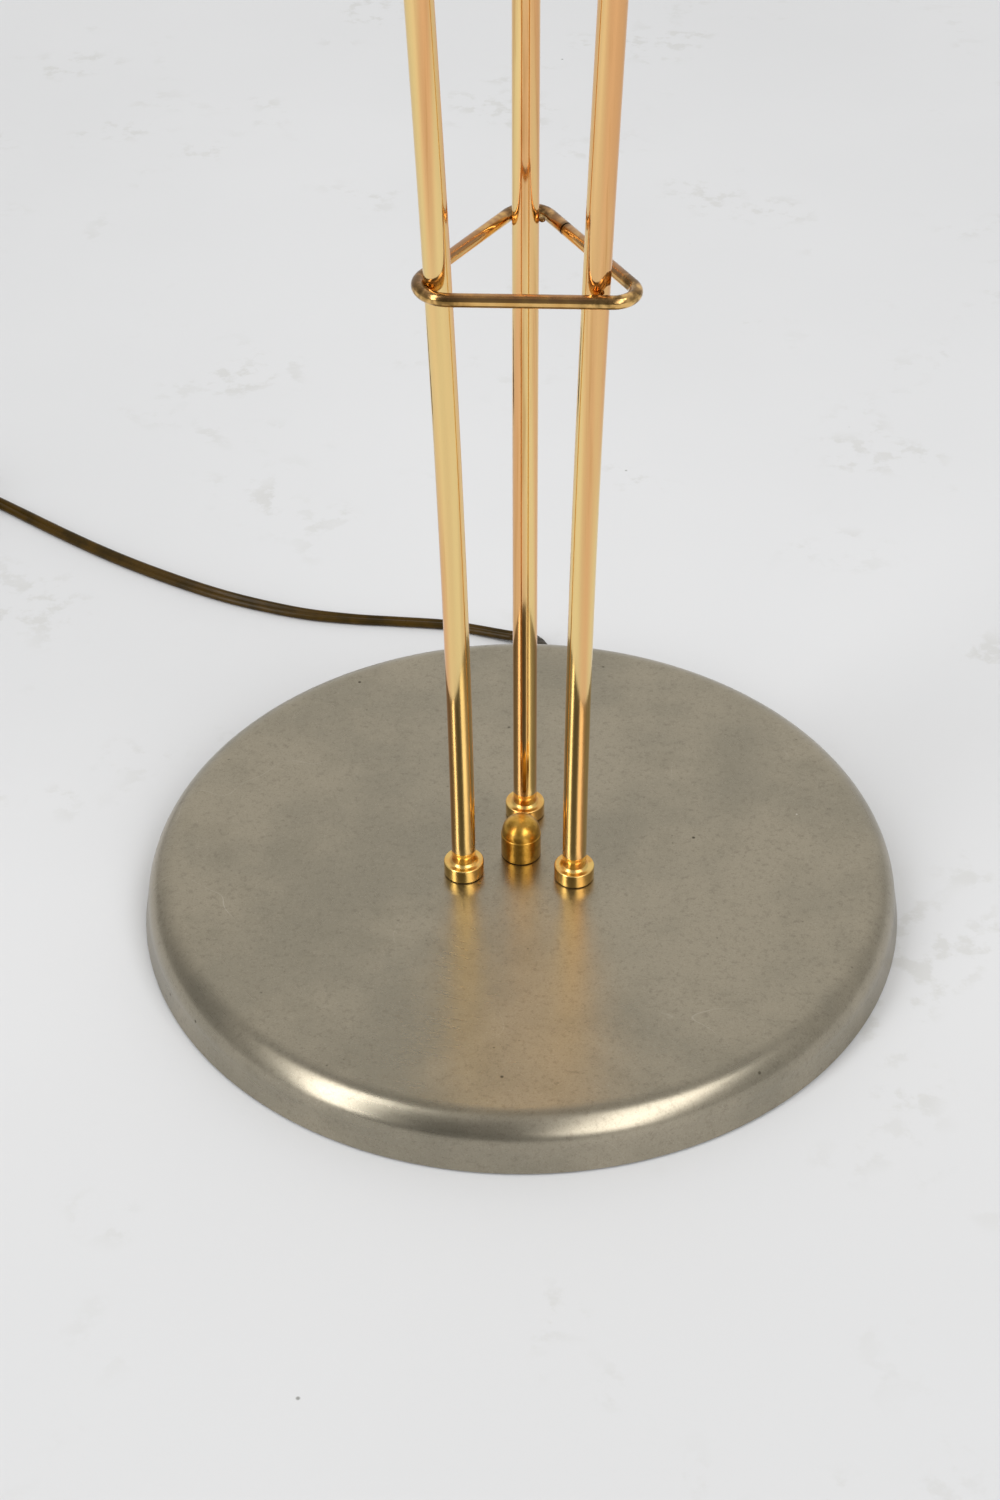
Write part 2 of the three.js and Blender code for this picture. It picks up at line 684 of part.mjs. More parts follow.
function lampholderParts() {
  add("socket_cap", socketCap(), "brass");
  const shellLow = SOCKET_Z + 17 + GAP;
  const shellInner = SOCKET_RADIUS - SOCKET_WALL;
  add("socket_shell", drilledSleeve(shellInner, SOCKET_RADIUS, shellLow, BULB_GLASS_Z - 1), "brass");
  const linerRadius = shellInner - GAP;
  add("socket_liner", drilledSleeve(linerRadius - 0.9, linerRadius, shellLow, BULB_GLASS_Z - 3), "card");
  const core = post(13.6, shellLow, BULB_BASE_Z - 3, PLAIN);
  const spindleHole = new THREE.CylinderGeometry(2.4, 2.4, 14, 16).translate(0, -11, SWITCH_Z);
  add("socket_core", cut(core, spindleHole), "phenolic");
  add("socket_screw_shell", washer(13.35, 13.95, BULB_BASE_Z - 3 + GAP, BULB_GLASS_Z - 4), "brass");
  const contact = block([-3, -2, BULB_BASE_Z - 3 + GAP], [3, 2, BULB_BASE_Z - GAP]);
  add("socket_centre_contact", contact, "brass");
  const capProfile = [[0, 0], [5, 0], [12.8, 5], [12.8, 25.4], [0, 25.4]];
  add("bulb_base", lathe(capProfile).translate(0, 0, BULB_BASE_Z + 0.2), "steel");
  add("bulb_glass", bulbGlass(), "opal_glass");
}

// The switch turns about its spindle, which points to the front.
function switchParts() {
  const spindle = new THREE.CylinderGeometry(1.8, 1.8, 22, 12).translate(0, -17, SWITCH_Z);
  add("switch_spindle", spindle, "steel");
  const grip = new THREE.CylinderGeometry(5.2, 4.4, 13, 16).translate(0, -29.4, SWITCH_Z);
  const flats = [1, -1].map((side) => {
    return block([-8, -37, SWITCH_Z + side * 4.6 - 2], [8, -27, SWITCH_Z + side * 4.6 + 2]);
  });
  const bore = new THREE.CylinderGeometry(2.1, 2.1, 10, 12).translate(0, -23.4, SWITCH_Z);
  add("switch_knob", cut(grip, ...flats, bore), "phenolic");
}

// ---------- harp, shade and finial ----------
function harpSaddle() {
  const half = HARP_HALF_FOOT;
  const top = HARP_FOOT_Z - 10;
  const low = SADDLE_Z;
  const high = SADDLE_Z + SADDLE_THICK;
  const outline = [
    [-half - 1, top], [-half - 1, low + 9], [-half + 6, low],
    [half - 6, low], [half + 1, low + 9], [half + 1, top],
    [half - 1, top], [half - 1, low + 10], [half - 7, high],
    [-half + 7, high], [-half + 1, low + 10], [-half + 1, top],
  ];
  const shape = new THREE.Shape(outline.map(([x, z]) => new THREE.Vector2(x, z)));
  const strip = new THREE.ExtrudeGeometry(shape, { depth: 14, bevelEnabled: false });
  strip.rotateX(Math.PI / 2).translate(0, 7, 0);
  return cut(strip, post(CENTRE_NIPPLE_RADIUS + 2 * GAP, SADDLE_Z - 5, SADDLE_Z + 5));
}

function harp() {
  const side = [
    [HARP_HALF_FOOT, 0, HARP_FOOT_Z - 9.6],
    [HARP_HALF_FOOT + 0.5, 0, HARP_FOOT_Z + 6],
    [HARP_HALF_FOOT + 13, 0, HARP_FOOT_Z + 36],
    [HARP_HALF_WIDTH, 0, HARP_FOOT_Z + 88],
    [HARP_HALF_WIDTH - 4, 0, HARP_FOOT_Z + 150],
    [HARP_HALF_WIDTH - 24, 0, HARP_TOP_Z - 22],
    [14, 0, HARP_TOP_Z - 3],
  ];
  const points = vectors([...side, [0, 0, HARP_TOP_Z], ...side.map(([x, y, z]) => [-x, y, z]).reverse()]);
  const wire = tubeThrough(points, polygon(HARP_WIRE, HARP_WIRE, 8), 2);
  const boss = post(6, HARP_TOP_Z - 3, HARP_TOP_Z + 2.2, 20);
  const stud = post(3, HARP_TOP_Z - 2, HARP_TOP_Z + 16, 16);
  return join(wire, boss, stud);
}

function shadeSpider() {
  const hubZ = HARP_TOP_Z + 2.5;
  const hub = washer(3.5, 15, hubZ, hubZ + 2);
  const rimRadius = SHADE_TOP_RADIUS - SHADE_WALL - SHADE_WIRE - 1;
  const rim = new THREE.TorusGeometry(rimRadius, SHADE_WIRE, 6, FINE).translate(0, 0, SHADE_TOP_Z - 5);
  const spokes = Object.values(STEM_ANGLES).map((degrees) => {
    const points = vectors([
      [12, 0, hubZ + 1], [24, 0, hubZ + 1], [90, 0, hubZ + 4], [rimRadius, 0, SHADE_TOP_Z - 5],
    ]);
    return tubeThrough(points, polygon(1.4, 1.4, 6), 2).rotateZ(rad(degrees));
  });
  return join(hub, rim, ...spokes);
}

function shadeSkin() {
  return ring([
    [SHADE_BOTTOM_RADIUS - SHADE_WALL, SHADE_BOTTOM_Z],
    [SHADE_BOTTOM_RADIUS, SHADE_BOTTOM_Z],
    [SHADE_TOP_RADIUS, SHADE_TOP_Z],
    [SHADE_TOP_RADIUS - SHADE_WALL, SHADE_TOP_Z],
  ], FINE);
}

function shadeParts() {
  add("harp_saddle", harpSaddle(), "brass");
  add("harp", harp(), "brass");
  add("shade_spider", shadeSpider(), "brass");
  add("shade_skin", shadeSkin(), "linen");
  const wireRadius = SHADE_BOTTOM_RADIUS - SHADE_WALL - SHADE_WIRE - 1;
  const wire = new THREE.TorusGeometry(wireRadius, SHADE_WIRE, 6, FINE);
  add("shade_bottom_ring", wire.translate(0, 0, SHADE_BOTTOM_Z + 4), "brass");
  const finial = lathe([
    [0, 13.5], [3.3, 13.5], [3.3, 0], [6, 0], [6, 2], [4.4, 5], [4.4, 8],
    ...arc(0, 15, 7.6, -55, 80, 5), [0, 22.6],
  ], 16);
  add("finial", finial.translate(0, 0, HARP_TOP_Z + 4.9), "satin_brass");
}

baseParts();
for (const [side, degrees] of Object.entries(STEM_ANGLES)) stemParts(side, degrees);
braceRing();
cordParts();
headParts();
lampholderParts();
switchParts();
shadeParts();

export default lamp;
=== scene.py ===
# %% [markdown]
# # A tripod floor lamp
# Three slender brass stems stand on a round nickel base, spread a little as they rise, and
# carry a small head with a lampholder, a harp and a linen drum shade. A bent brass rod ties
# them together near the floor. The lamp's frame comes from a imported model. This lesson
# builds the visible skin of each piece over it, with modelling operators and node finishes.

# %% Load the frame
import math

import bmesh
import bpy
from mathutils import Matrix, Vector


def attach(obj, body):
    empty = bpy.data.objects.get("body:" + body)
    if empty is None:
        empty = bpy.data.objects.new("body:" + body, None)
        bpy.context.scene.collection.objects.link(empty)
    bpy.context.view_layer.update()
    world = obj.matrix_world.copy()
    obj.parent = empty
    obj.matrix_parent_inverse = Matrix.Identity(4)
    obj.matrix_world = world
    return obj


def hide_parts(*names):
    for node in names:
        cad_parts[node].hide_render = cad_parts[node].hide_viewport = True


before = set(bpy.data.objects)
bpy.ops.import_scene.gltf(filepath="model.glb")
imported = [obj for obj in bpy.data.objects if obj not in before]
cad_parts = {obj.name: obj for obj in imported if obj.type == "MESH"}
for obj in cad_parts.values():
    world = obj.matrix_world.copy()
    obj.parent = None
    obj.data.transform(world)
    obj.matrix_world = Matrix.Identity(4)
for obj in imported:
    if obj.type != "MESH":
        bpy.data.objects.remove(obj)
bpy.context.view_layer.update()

MM = 0.001
scene = bpy.context.scene
print("nodes in the frame:", len(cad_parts))

# %% [markdown]
# ## Camera
# The camera stands in front of the lamp, higher than the brace ring, and looks down at the
# base. A camera looks along its own -Z, so its matrix is made of three directions: right,
# up and backwards. The lens and the sensor's height fix how much it takes in.

# %% Camera
CAMERA_PLACE = Vector((0.04969, -0.759209, 0.683442))
CAMERA_YAW, CAMERA_PITCH, CAMERA_ROLL = (math.radians(a) for a in (-4.357, 38.641, -0.498))
LENS_LENGTH, SENSOR_HEIGHT = 59.952, 36


def camera_matrix():
    forward = Vector((
        math.sin(CAMERA_YAW) * math.cos(CAMERA_PITCH),
        math.cos(CAMERA_YAW) * math.cos(CAMERA_PITCH),
        -math.sin(CAMERA_PITCH),
    ))
    level = Vector((math.cos(CAMERA_YAW), -math.sin(CAMERA_YAW), 0))
    upright = level.cross(forward)
    right = level * math.cos(CAMERA_ROLL) + upright * math.sin(CAMERA_ROLL)
    up = upright * math.cos(CAMERA_ROLL) - level * math.sin(CAMERA_ROLL)
    turned = Matrix((right, up, -forward)).transposed().to_4x4()
    return Matrix.Translation(CAMERA_PLACE) @ turned


lens = bpy.data.cameras.new("camera")
lens.lens = LENS_LENGTH
lens.sensor_fit = "VERTICAL"
lens.sensor_height = SENSOR_HEIGHT
camera = bpy.data.objects.new("camera", lens)
camera.matrix_world = camera_matrix()
scene.collection.objects.link(camera)
scene.camera = camera
scene.view_settings.view_transform = "Standard"
print("camera at", tuple(round(v, 3) for v in CAMERA_PLACE))

# %% [markdown]
# ## A small language for finishes
# Every finish here is a tree of shader nodes. Writing each node and link by hand is long,
# so one class wraps a node's output socket: adding or multiplying two of them adds the
# Math node that does it. A second class holds the tree and adds any other node.


# %% Sockets that do sums
class Value:
    """A node's output socket, on which + - * / and ** add Math nodes."""

    def __init__(self, finish, socket):
        self.finish, self.socket = finish, socket

    def __add__(self, other):
        return self.finish.math("ADD", self, other)

    def __sub__(self, other):
        return self.finish.math("SUBTRACT", self, other)

    def __rsub__(self, other):
        return self.finish.math("SUBTRACT", other, self)

    def __mul__(self, other):
        return self.finish.math("MULTIPLY", self, other)

    def __truediv__(self, other):
        return self.finish.math("DIVIDE", self, other)

    def __pow__(self, other):
        return self.finish.math("POWER", self, other)

    __radd__, __rmul__ = __add__, __mul__


# %% A finish and its nodes
class Finish:
    """One material, or the world, and the nodes that make it."""

    def __init__(self, name, owner=None):
        self.owner = owner or bpy.data.materials.new(name)
        self.owner.use_nodes = True
        self.tree = self.owner.node_tree
        self.tree.nodes.clear()

    def node(self, kind, settings=None, inputs=None, output=0):
        made = self.tree.nodes.new(kind)
        for key, value in (settings or {}).items():
            setattr(made, key, value)
        for key, value in (inputs or {}).items():
            if isinstance(value, Value):
                self.tree.links.new(value.socket, made.inputs[key])
            else:
                made.inputs[key].default_value = value
        return Value(self, made.outputs[output])

    def math(self, operation, *values):
        return self.node("ShaderNodeMath", {"operation": operation}, dict(enumerate(values)))

    def vector(self, operation, *values, output=0):
        settings = {"operation": operation}
        return self.node("ShaderNodeVectorMath", settings, dict(enumerate(values)), output)

    def place(self):
        return self.node("ShaderNodeTexCoord", output="Object")

    def split(self, vector):
        parts = self.node("ShaderNodeSeparateXYZ", inputs={0: vector}).socket.node.outputs
        return [Value(self, part) for part in parts]

    def join(self, x, y, z):
        return self.node("ShaderNodeCombineXYZ", inputs={0: x, 1: y, 2: z})

    def noise(self, vector, scale, detail=2.0, rough=0.5):
        inputs = {"Vector": vector, "Scale": scale, "Detail": detail, "Roughness": rough}
        return self.node("ShaderNodeTexNoise", inputs=inputs)

    def step(self, value, low, high):
        """Rises smoothly from 0 at low to 1 at high, or falls if low is the higher."""
        if low > high:
            return 1 - self.step(value, high, low)
        inputs = {"Value": value, "From Min": low, "From Max": high}
        return self.node("ShaderNodeMapRange", {"interpolation_type": "SMOOTHSTEP"}, inputs)

    def mix(self, first, second, share, blend="MIX"):
        settings = {"data_type": "RGBA", "blend_type": blend}
        return self.node("ShaderNodeMix", settings, {0: share, 6: first, 7: second}, output=2)

    def spots(self, vector, scale, size, share):
        """Small round spots of a size in the texture's own units, in a share of its cells."""
        inputs = {"Vector": vector, "Scale": scale}
        near = self.node("ShaderNodeTexVoronoi", inputs=inputs, output="Distance")
        cell = self.node("ShaderNodeTexVoronoi", inputs=inputs, output="Color")
        chance, big, _ = self.split(cell)
        chosen = self.step(chance + big * 0.02, share, share * 0.9)
        return self.step(near, size, size * 0.35) * chosen

    def hairlines(self, vector, scale, width):
        """Thin wandering lines, where a smooth noise passes through its middle."""
        middle = self.noise(vector, scale, 1.0) - 0.5
        return self.step(self.math("ABSOLUTE", middle), width, 0)

    def bump(self, height, strength, distance):
        inputs = {"Height": height, "Strength": strength, "Distance": distance}
        return self.node("ShaderNodeBump", inputs=inputs)

    def surface(self, **inputs):
        named = {
            key.replace("_", " ").title().replace("Ior", "IOR"): value
            for key, value in inputs.items()
        }
        shader = self.node("ShaderNodeBsdfPrincipled", inputs=named)
        self.node_output("ShaderNodeOutputMaterial", shader)
        return self.owner

    def node_output(self, kind, shader):
        self.tree.links.new(shader.socket, self.tree.nodes.new(kind).inputs[0])


def paint(code):
    """A colour as it looks on a screen, such as "b98a35", in Blender's linear numbers."""
    parts = [int(code[i:i + 2], 16) / 255 for i in (0, 2, 4)]
    return (*(p / 12.92 if p <= 0.04045 else ((p + 0.055) / 1.055) ** 2.4 for p in parts), 1)


# %% [markdown]
# ## Nickel
# The base and the head are spun nickel-plated covers with a satin grain. The plating has
# faint cloudy tones, a fine grain, circular polishing lines, a few hairline scratches and
# some dark pits. The circular lines come from a noise that is stretched round the axis:
# the direction from the axis changes slowly, and the distance from it quickly.


# %% Nickel finish
def nickel():
    finish = Finish("nickel")
    place = finish.place()
    x, y, z = finish.split(place)
    radius = (x * x + y * y + 1e-8) ** 0.5
    round_axis = finish.join(x / radius * 7, y / radius * 7, (radius - z) * 1300)
    lines = finish.noise(round_axis, 1.0, 2.0)
    clouds = finish.noise(place, 17.0, 5.0, 0.6)
    smudges = finish.noise(place, 60.0, 3.0, 0.55)
    grain = finish.noise(place, 1500.0, 4.0, 0.75)
    cast = finish.noise(place, 420.0, 4.0, 0.7)
    tone = finish.mix(paint("999282"), paint("a89f8d"), finish.step(clouds, 0.35, 0.65))
    tone = finish.mix(tone, paint("8f8877"), finish.step(smudges, 0.5, 0.78) * 0.3)
    tone = finish.mix(tone, paint("80786a"), finish.step(cast, 0.5, 0.72) * 0.45)
    tone = finish.mix(tone, paint("716a5a"), finish.step(grain, 0.52, 0.76) * 0.6)
    tone = finish.mix(tone, paint("c8c0af"), finish.step(grain, 0.44, 0.26) * 0.45)
    freckles = finish.spots(place, 330.0, 0.2, 0.1) * finish.step(smudges, 0.48, 0.66)
    pits = finish.spots(place, 75.0, 0.07, 0.24)
    flecks = finish.spots(place, 90.0, 0.05, 0.06)
    marks = finish.hairlines(place, 21.0, 0.0018) * finish.step(clouds, 0.5, 0.66)
    tone = finish.mix(tone, paint("4f493c"), freckles * 0.6 + pits * 0.9)
    tone = finish.mix(tone, paint("ece6da"), marks * 0.25 + flecks * 0.7)
    rough = 0.265 + clouds * 0.04 + (lines - 0.5) * 0.05 + freckles * 0.1 + pits * 0.2
    height = lines * 0.3 + grain * 0.12 - pits * 1.5 - freckles * 0.3
    return finish.surface(
        base_color=tone, metallic=1.0, roughness=rough,
        normal=finish.bump(height, 0.04, 0.0001),
    )


NICKEL = nickel()
print("made", NICKEL.name)

# %% [markdown]
# ## Brass, polished, satin and tarnished
# Polished brass is almost a mirror, so its own detail is small: draw lines along the tube,
# a warmer and a yellower tone, and tiny dark pits where the lacquer has failed. One function
# makes it, so the collars can have a yellower brass that is rougher between some heights,
# and the brazing metal a darker one. The nuts are a duller satin brass.


# %% Polished brass
SATIN_EDGE, SATIN_ROUGHER = 0.0004, 0.2


def brass(name="brass", warm="eab279", yellow="f4d592", smooth=0.06, satin_between=()):
    finish = Finish(name)
    place = finish.place()
    _, _, z = finish.split(place)
    drawn = finish.vector("MULTIPLY", place, (420.0, 420.0, 2.2))
    lines = finish.noise(drawn, 1.0, 3.0, 0.6)
    broad = finish.noise(drawn, 0.3, 1.0)
    clouds = finish.noise(place, 45.0, 3.0)
    tone = finish.mix(paint(warm), paint(yellow), finish.step(broad, 0.4, 0.6))
    tone = finish.mix(tone, paint("c48f4c"), finish.step(lines, 0.54, 0.72) * 0.45)
    pits = finish.spots(place, 210.0, 0.085, 0.11) * finish.step(clouds, 0.44, 0.6)
    blots = finish.spots(place, 58.0, 0.028, 0.17)
    tone = finish.mix(tone, paint("5d5526"), pits * 0.75 + blots * 0.7)
    rough = smooth + clouds * 0.05 + pits * 0.25 + blots * 0.3
    for low, high in satin_between:
        above = finish.step(z, low * MM, low * MM + SATIN_EDGE)
        below = finish.step(z, high * MM, high * MM - SATIN_EDGE)
        rough = rough + above * below * SATIN_ROUGHER
    height = lines * 0.5 + clouds * 0.8 - pits - blots
    return finish.surface(
        base_color=tone, metallic=1.0, roughness=rough,
        normal=finish.bump(height, 0.05, 0.0001),
    )


# %% Satin brass
def satin_brass():
    finish = Finish("satin_brass")
    place = finish.place()
    x, y, z = finish.split(place)
    turned = finish.noise(finish.join(x * 90, y * 90, z * 5200), 1.0, 1.0)
    mottle = finish.noise(place, 420.0, 4.0, 0.65)
    stains = finish.noise(place, 150.0, 3.0)
    tone = finish.mix(paint("d9a94e"), paint("c0913a"), finish.step(mottle, 0.4, 0.66))
    tone = finish.mix(tone, paint("7d5a22"), finish.step(stains, 0.54, 0.76) * 0.6)
    rough = 0.24 + mottle * 0.12 + finish.step(stains, 0.5, 0.8) * 0.12
    return finish.surface(
        base_color=tone, metallic=1.0, roughness=rough,
        normal=finish.bump(turned * 0.3 + mottle, 0.12, 0.0001),
    )


BRASS = brass()
SATIN_BRASS = satin_brass()
print("made", BRASS.name, "and", SATIN_BRASS.name)

# %% [markdown]
# ## Modelling helpers
# Most pieces are turned: a profile is spun round an axis, as on a lathe. The profile is a
# few points, and a vertex bevel rounds each of its corners. The rest are tubes and wires:
# a ring of edges is extruded from place to place along a path, and turned to follow it.


# %% Start, spin and finish a mesh
def wire(points, closed=False):
    """A bmesh that holds a chain of edges through a few points in millimetres."""
    mesh = bmesh.new()
    made = [mesh.verts.new(Vector(point) * MM) for point in points]
    for a, b in zip(made, made[1:]):
        mesh.edges.new((a, b))
    if closed:
        mesh.edges.new((made[-1], made[0]))
    return mesh, made


def rounded(mesh, corner, rounding, segments):
    """Rounds one corner of a chain of edges."""
    bmesh.ops.bevel(
        mesh, geom=[corner], offset=rounding * MM, offset_type="OFFSET", affect="VERTICES",
        segments=segments, profile=0.5, material=-1,
    )


def turned(corners, steps=64, closed=False, round_steps=6):
    """Spins a profile of (radius, height, rounding) corners round the Z axis."""
    mesh, made = wire([(r, 0, z) for r, z, _ in corners], closed)
    for corner, (_, _, rounding) in zip(made, corners):
        if rounding:
            rounded(mesh, corner, rounding, round_steps)
    bmesh.ops.spin(
        mesh, geom=mesh.verts[:] + mesh.edges[:], axis=(0, 0, 1), cent=(0, 0, 0),
        dvec=(0, 0, 0), angle=math.tau, steps=steps, use_merge=True,
    )
    return mesh


def band(corners, rounding, segments, width, closed=False):
    """A strip of a width along Y, over a line in X and Z whose bends are rounded."""
    mesh, made = wire([(x, 0, z) for x, z in corners], closed)
    for corner in made if closed else made[1:-1]:
        rounded(mesh, corner, rounding, segments)
    bmesh.ops.translate(mesh, verts=mesh.verts, vec=Vector((0, -width / 2, 0)) * MM)
    grown = bmesh.ops.extrude_edge_only(mesh, edges=mesh.edges[:])["geom"]
    far = [part for part in grown if isinstance(part, bmesh.types.BMVert)]
    bmesh.ops.translate(mesh, verts=far, vec=Vector((0, width, 0)) * MM)
    return mesh


def moved(mesh, matrix):
    bmesh.ops.transform(mesh, matrix=matrix, verts=mesh.verts)
    return mesh


def at(x=0.0, y=0.0, z=0.0):
    return Matrix.Translation(Vector((x, y, z)) * MM)


def turn(degrees, axis="Z"):
    return Matrix.Rotation(math.radians(degrees), 4, axis)


def piece(name, mesh, finish, replaces=(), body="root", crease=38):
    """Tidies a mesh, makes it an object, parents it to its body and hides the CAD nodes it
    replaces.
    """
    bmesh.ops.remove_doubles(mesh, verts=mesh.verts, dist=1e-6)
    bmesh.ops.recalc_face_normals(mesh, faces=mesh.faces)
    for face in mesh.faces:
        face.smooth = True
    for edge in mesh.edges:
        edge.smooth = not edge.is_manifold or edge.calc_face_angle() < math.radians(crease)
    data = bpy.data.meshes.new(name)
    mesh.to_mesh(data)
    print(f"{name}: {len(mesh.faces)} faces")
    mesh.free()
    data.materials.append(finish)
    made = bpy.data.objects.new(name, data)
    scene.collection.objects.link(made)
    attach(made, body)
    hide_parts(*replaces)
    return made


# %% Sweep a ring of edges along a path
def frames_along(path, up=(0, 0, 1), closed=False):
    """A matrix at each point of a path in metres: X across it, Y up, and Z along it."""
    made = []
    for i, point in enumerate(path):
        before = path[i - 1] if closed or i else path[0]
        after = path[(i + 1) % len(path)] if closed or i + 1 < len(path) else path[-1]
        along = (after - before).normalized()
        across = Vector(up).cross(along).normalized()
        rise = along.cross(across)
        facing = Matrix((across, rise, along)).transposed().to_4x4()
        made.append(Matrix.Translation(point) @ facing)
    return made


def sweep(mesh, places, closed=False, caps=True):
    """Extrudes the chain or ring of edges that a mesh holds from the first place on."""
    ring = mesh.edges[:]
    first = ring[:]
    bmesh.ops.transform(mesh, matrix=places[0], verts=mesh.verts)
    for before, after in zip(places, places[1:]):
        grown = bmesh.ops.extrude_edge_only(mesh, edges=ring)["geom"]
        ring = [part for part in grown if isinstance(part, bmesh.types.BMEdge)]
        corners = [part for part in grown if isinstance(part, bmesh.types.BMVert)]
        bmesh.ops.transform(mesh, matrix=after @ before.inverted(), verts=corners)
    if closed:
        bmesh.ops.bridge_loops(mesh, edges=first + ring)
    elif caps:
        bmesh.ops.contextual_create(mesh, geom=first)
        bmesh.ops.contextual_create(mesh, geom=ring)
    return mesh


def circle(radius, sides):
    mesh = bmesh.new()
    bmesh.ops.create_circle(mesh, cap_ends=False, radius=radius * MM, segments=sides)
    return mesh


def smooth_path(points, each=8, closed=False):
    """A Catmull-Rom curve through points in millimetres, as points in metres."""
    points = [Vector(p) * MM for p in points]
    count = len(points)
    path = []
    for i in range(count if closed else count - 1):
        p0 = points[i - 1] if closed or i else points[0] * 2 - points[1]
        p1, p2 = points[i], points[(i + 1) % count]
        last = points[-1] * 2 - points[-2]
        p3 = points[(i + 2) % count] if closed or i + 2 < count else last
        for j in range(each):
            t = j / each
            path.append(0.5 * (
                p1 * 2 + (p2 - p0) * t + (p0 * 2 - p1 * 5 + p2 * 4 - p3) * t * t
                + (p1 * 3 - p0 - p2 * 3 + p3) * t ** 3
            ))
    return path if closed else path + [points[-1]]


def ease(t):
    t = min(max(t, 0), 1)
    return t * t * (3 - 2 * t)


def between(low, high, t):
    return low + (high - low) * t


# %% [markdown]
# ## Supply cord
# A flat two-core lamp cord leaves a rubber bush at the back of the base, turns left and
# lies on the floor. The rest of its length is wound up beside the lamp, and ends in a
# plug. Its section is two circles side by side, which leaves the groove between the cores.
# The route is laid first, as points, and the section is then swept along it.

# %% Route of the cord
CORD_WIDTH, CORD_THICK, CORD_REST = 5.8, 3.3, 1.75
TWIST = math.radians(44)  # the cord rolls over by this much, at these distances along it
TWIST_FROM, TWIST_FULL, TWIST_BACK, TWIST_TO = 0.06, 0.17, 0.26, 0.33
EXIT, EXIT_HEADING, EXIT_TURN, EXIT_DROP = Vector((-0.5, 154.5, 7.0)), math.radians(94), 22.6, 40
RELIEF_LENGTH = 20.0
COIL_MIDDLE, COIL_OUTER_TURN, COIL_INNER_TURN = Vector((-330, 259, 0)), 38.2, 23.0
COIL_ENTRY, COIL_EXIT = 60, 200
COIL_LAYERS, COIL_LOW, LAYER_RISE, COIL_STEPS = 4, 2.35, 3.32, 64
COIL_WINDS = 10 + (COIL_EXIT - COIL_ENTRY) / 360
TAIL_LENGTH, TAIL_STEPS = 40.0, 8
PLUG_MIDDLE, PLUG_HEIGHT = 6.6, 13
floor_route = [
    (-36.3, 180.6), (-48.5, 183), (-71.8, 184), (-92, 184.6), (-114, 187), (-137, 192.8),
    (-160, 201), (-188, 214.4), (-216, 230), (-247, 250), (-279, 272.5),
]


def cord_start(s):
    """The cord's middle at a distance s from the skirt, where it turns and drops."""
    heading = EXIT_HEADING + s / EXIT_TURN
    aside = Vector((
        math.sin(heading) - math.sin(EXIT_HEADING), math.cos(EXIT_HEADING) - math.cos(heading), 0,
    ))
    place = EXIT + aside * EXIT_TURN
    place.z = between(EXIT.z, CORD_REST, ease(s / EXIT_DROP))
    return place


def coil_point(wind):
    """The cord's middle after a number of turns round the coil."""
    each = COIL_WINDS / COIL_LAYERS
    layer = min(int(wind / each), COIL_LAYERS - 1)
    share = wind / each - layer
    inwards = share if layer % 2 == 0 else 1 - share
    radius = between(COIL_OUTER_TURN, COIL_INNER_TURN, inwards)
    nearest = round(wind / each)
    climb = ease((wind - nearest * each) / 0.2 + 0.5) if 0 < nearest < COIL_LAYERS else 1
    level = nearest - 1 + climb if 0 < nearest < COIL_LAYERS else layer
    angle = math.radians(COIL_ENTRY) + wind * math.tau
    height = COIL_LOW + LAYER_RISE * level
    return COIL_MIDDLE + Vector((radius * math.cos(angle), radius * math.sin(angle), height))


def coil_tangent(degrees):
    angle = math.radians(degrees)
    return Vector((-math.sin(angle), math.cos(angle), 0))


lead_in = [coil_point(0) - coil_tangent(COIL_ENTRY) * back for back in (21.5, 9.0)]
for point, height in zip(lead_in, (CORD_REST, 2.0)):
    point.z = height
first_points = [cord_start(s) for s in (17, 20.6, 24.6, 28.6)]
first_points += [Vector((x, y, CORD_REST)) for x, y in floor_route] + lead_in
wound = [coil_point(i / COIL_STEPS) * MM for i in range(int(COIL_WINDS * COIL_STEPS) + 1)]
tail = []
for i in range(1, TAIL_STEPS + 1):
    gone = TAIL_LENGTH * i / TAIL_STEPS
    point = coil_point(COIL_WINDS) + coil_tangent(COIL_EXIT) * gone
    point.z = between(point.z, PLUG_MIDDLE, ease(gone / TAIL_LENGTH))
    tail.append(point * MM)
cord_path = smooth_path(first_points + [coil_point(0)], 6)[:-1] + wound + tail
cord_twists, gone = [], 0.0
for before, after in zip(cord_path, cord_path[1:] + cord_path[-1:]):
    rising = ease((gone - TWIST_FROM) / (TWIST_FULL - TWIST_FROM))
    falling = ease((gone - TWIST_BACK) / (TWIST_TO - TWIST_BACK))
    cord_twists.append(TWIST * (rising - falling))
    before.z += (CORD_WIDTH - CORD_THICK) / 2 * MM * math.sin(cord_twists[-1])
    gone += (after - before).length
cord_length = sum((b - a).length for a, b in zip(cord_path, cord_path[1:]))
print("cord:", len(cord_path), "points,", round(cord_length, 4), "m")


# %% [markdown]
# ## Plastics and rubber
# The cord is soft olive-brown plastic with a dull shine, dirtier in places. The plug and
# the switch knob are moulded, so they are smoother. One function makes all of them from
# two tones, a roughness, and how strong the fine moulded texture is.


# %% Moulded finishes
def moulded(name, light, dark, rough, texture=0.1, scale=300.0, shine=0.5):
    finish = Finish(name)
    place = finish.place()
    dirt = finish.noise(place, 70.0, 4.0, 0.6)
    fine = finish.noise(place, scale * 6, 2.0)
    tone = finish.mix(paint(light), paint(dark), finish.step(dirt, 0.42, 0.68))
    return finish.surface(
        base_color=tone, roughness=rough + dirt * 0.16, specular_ior_level=shine,
        normal=finish.bump(fine + dirt, texture, 0.0001),
    )


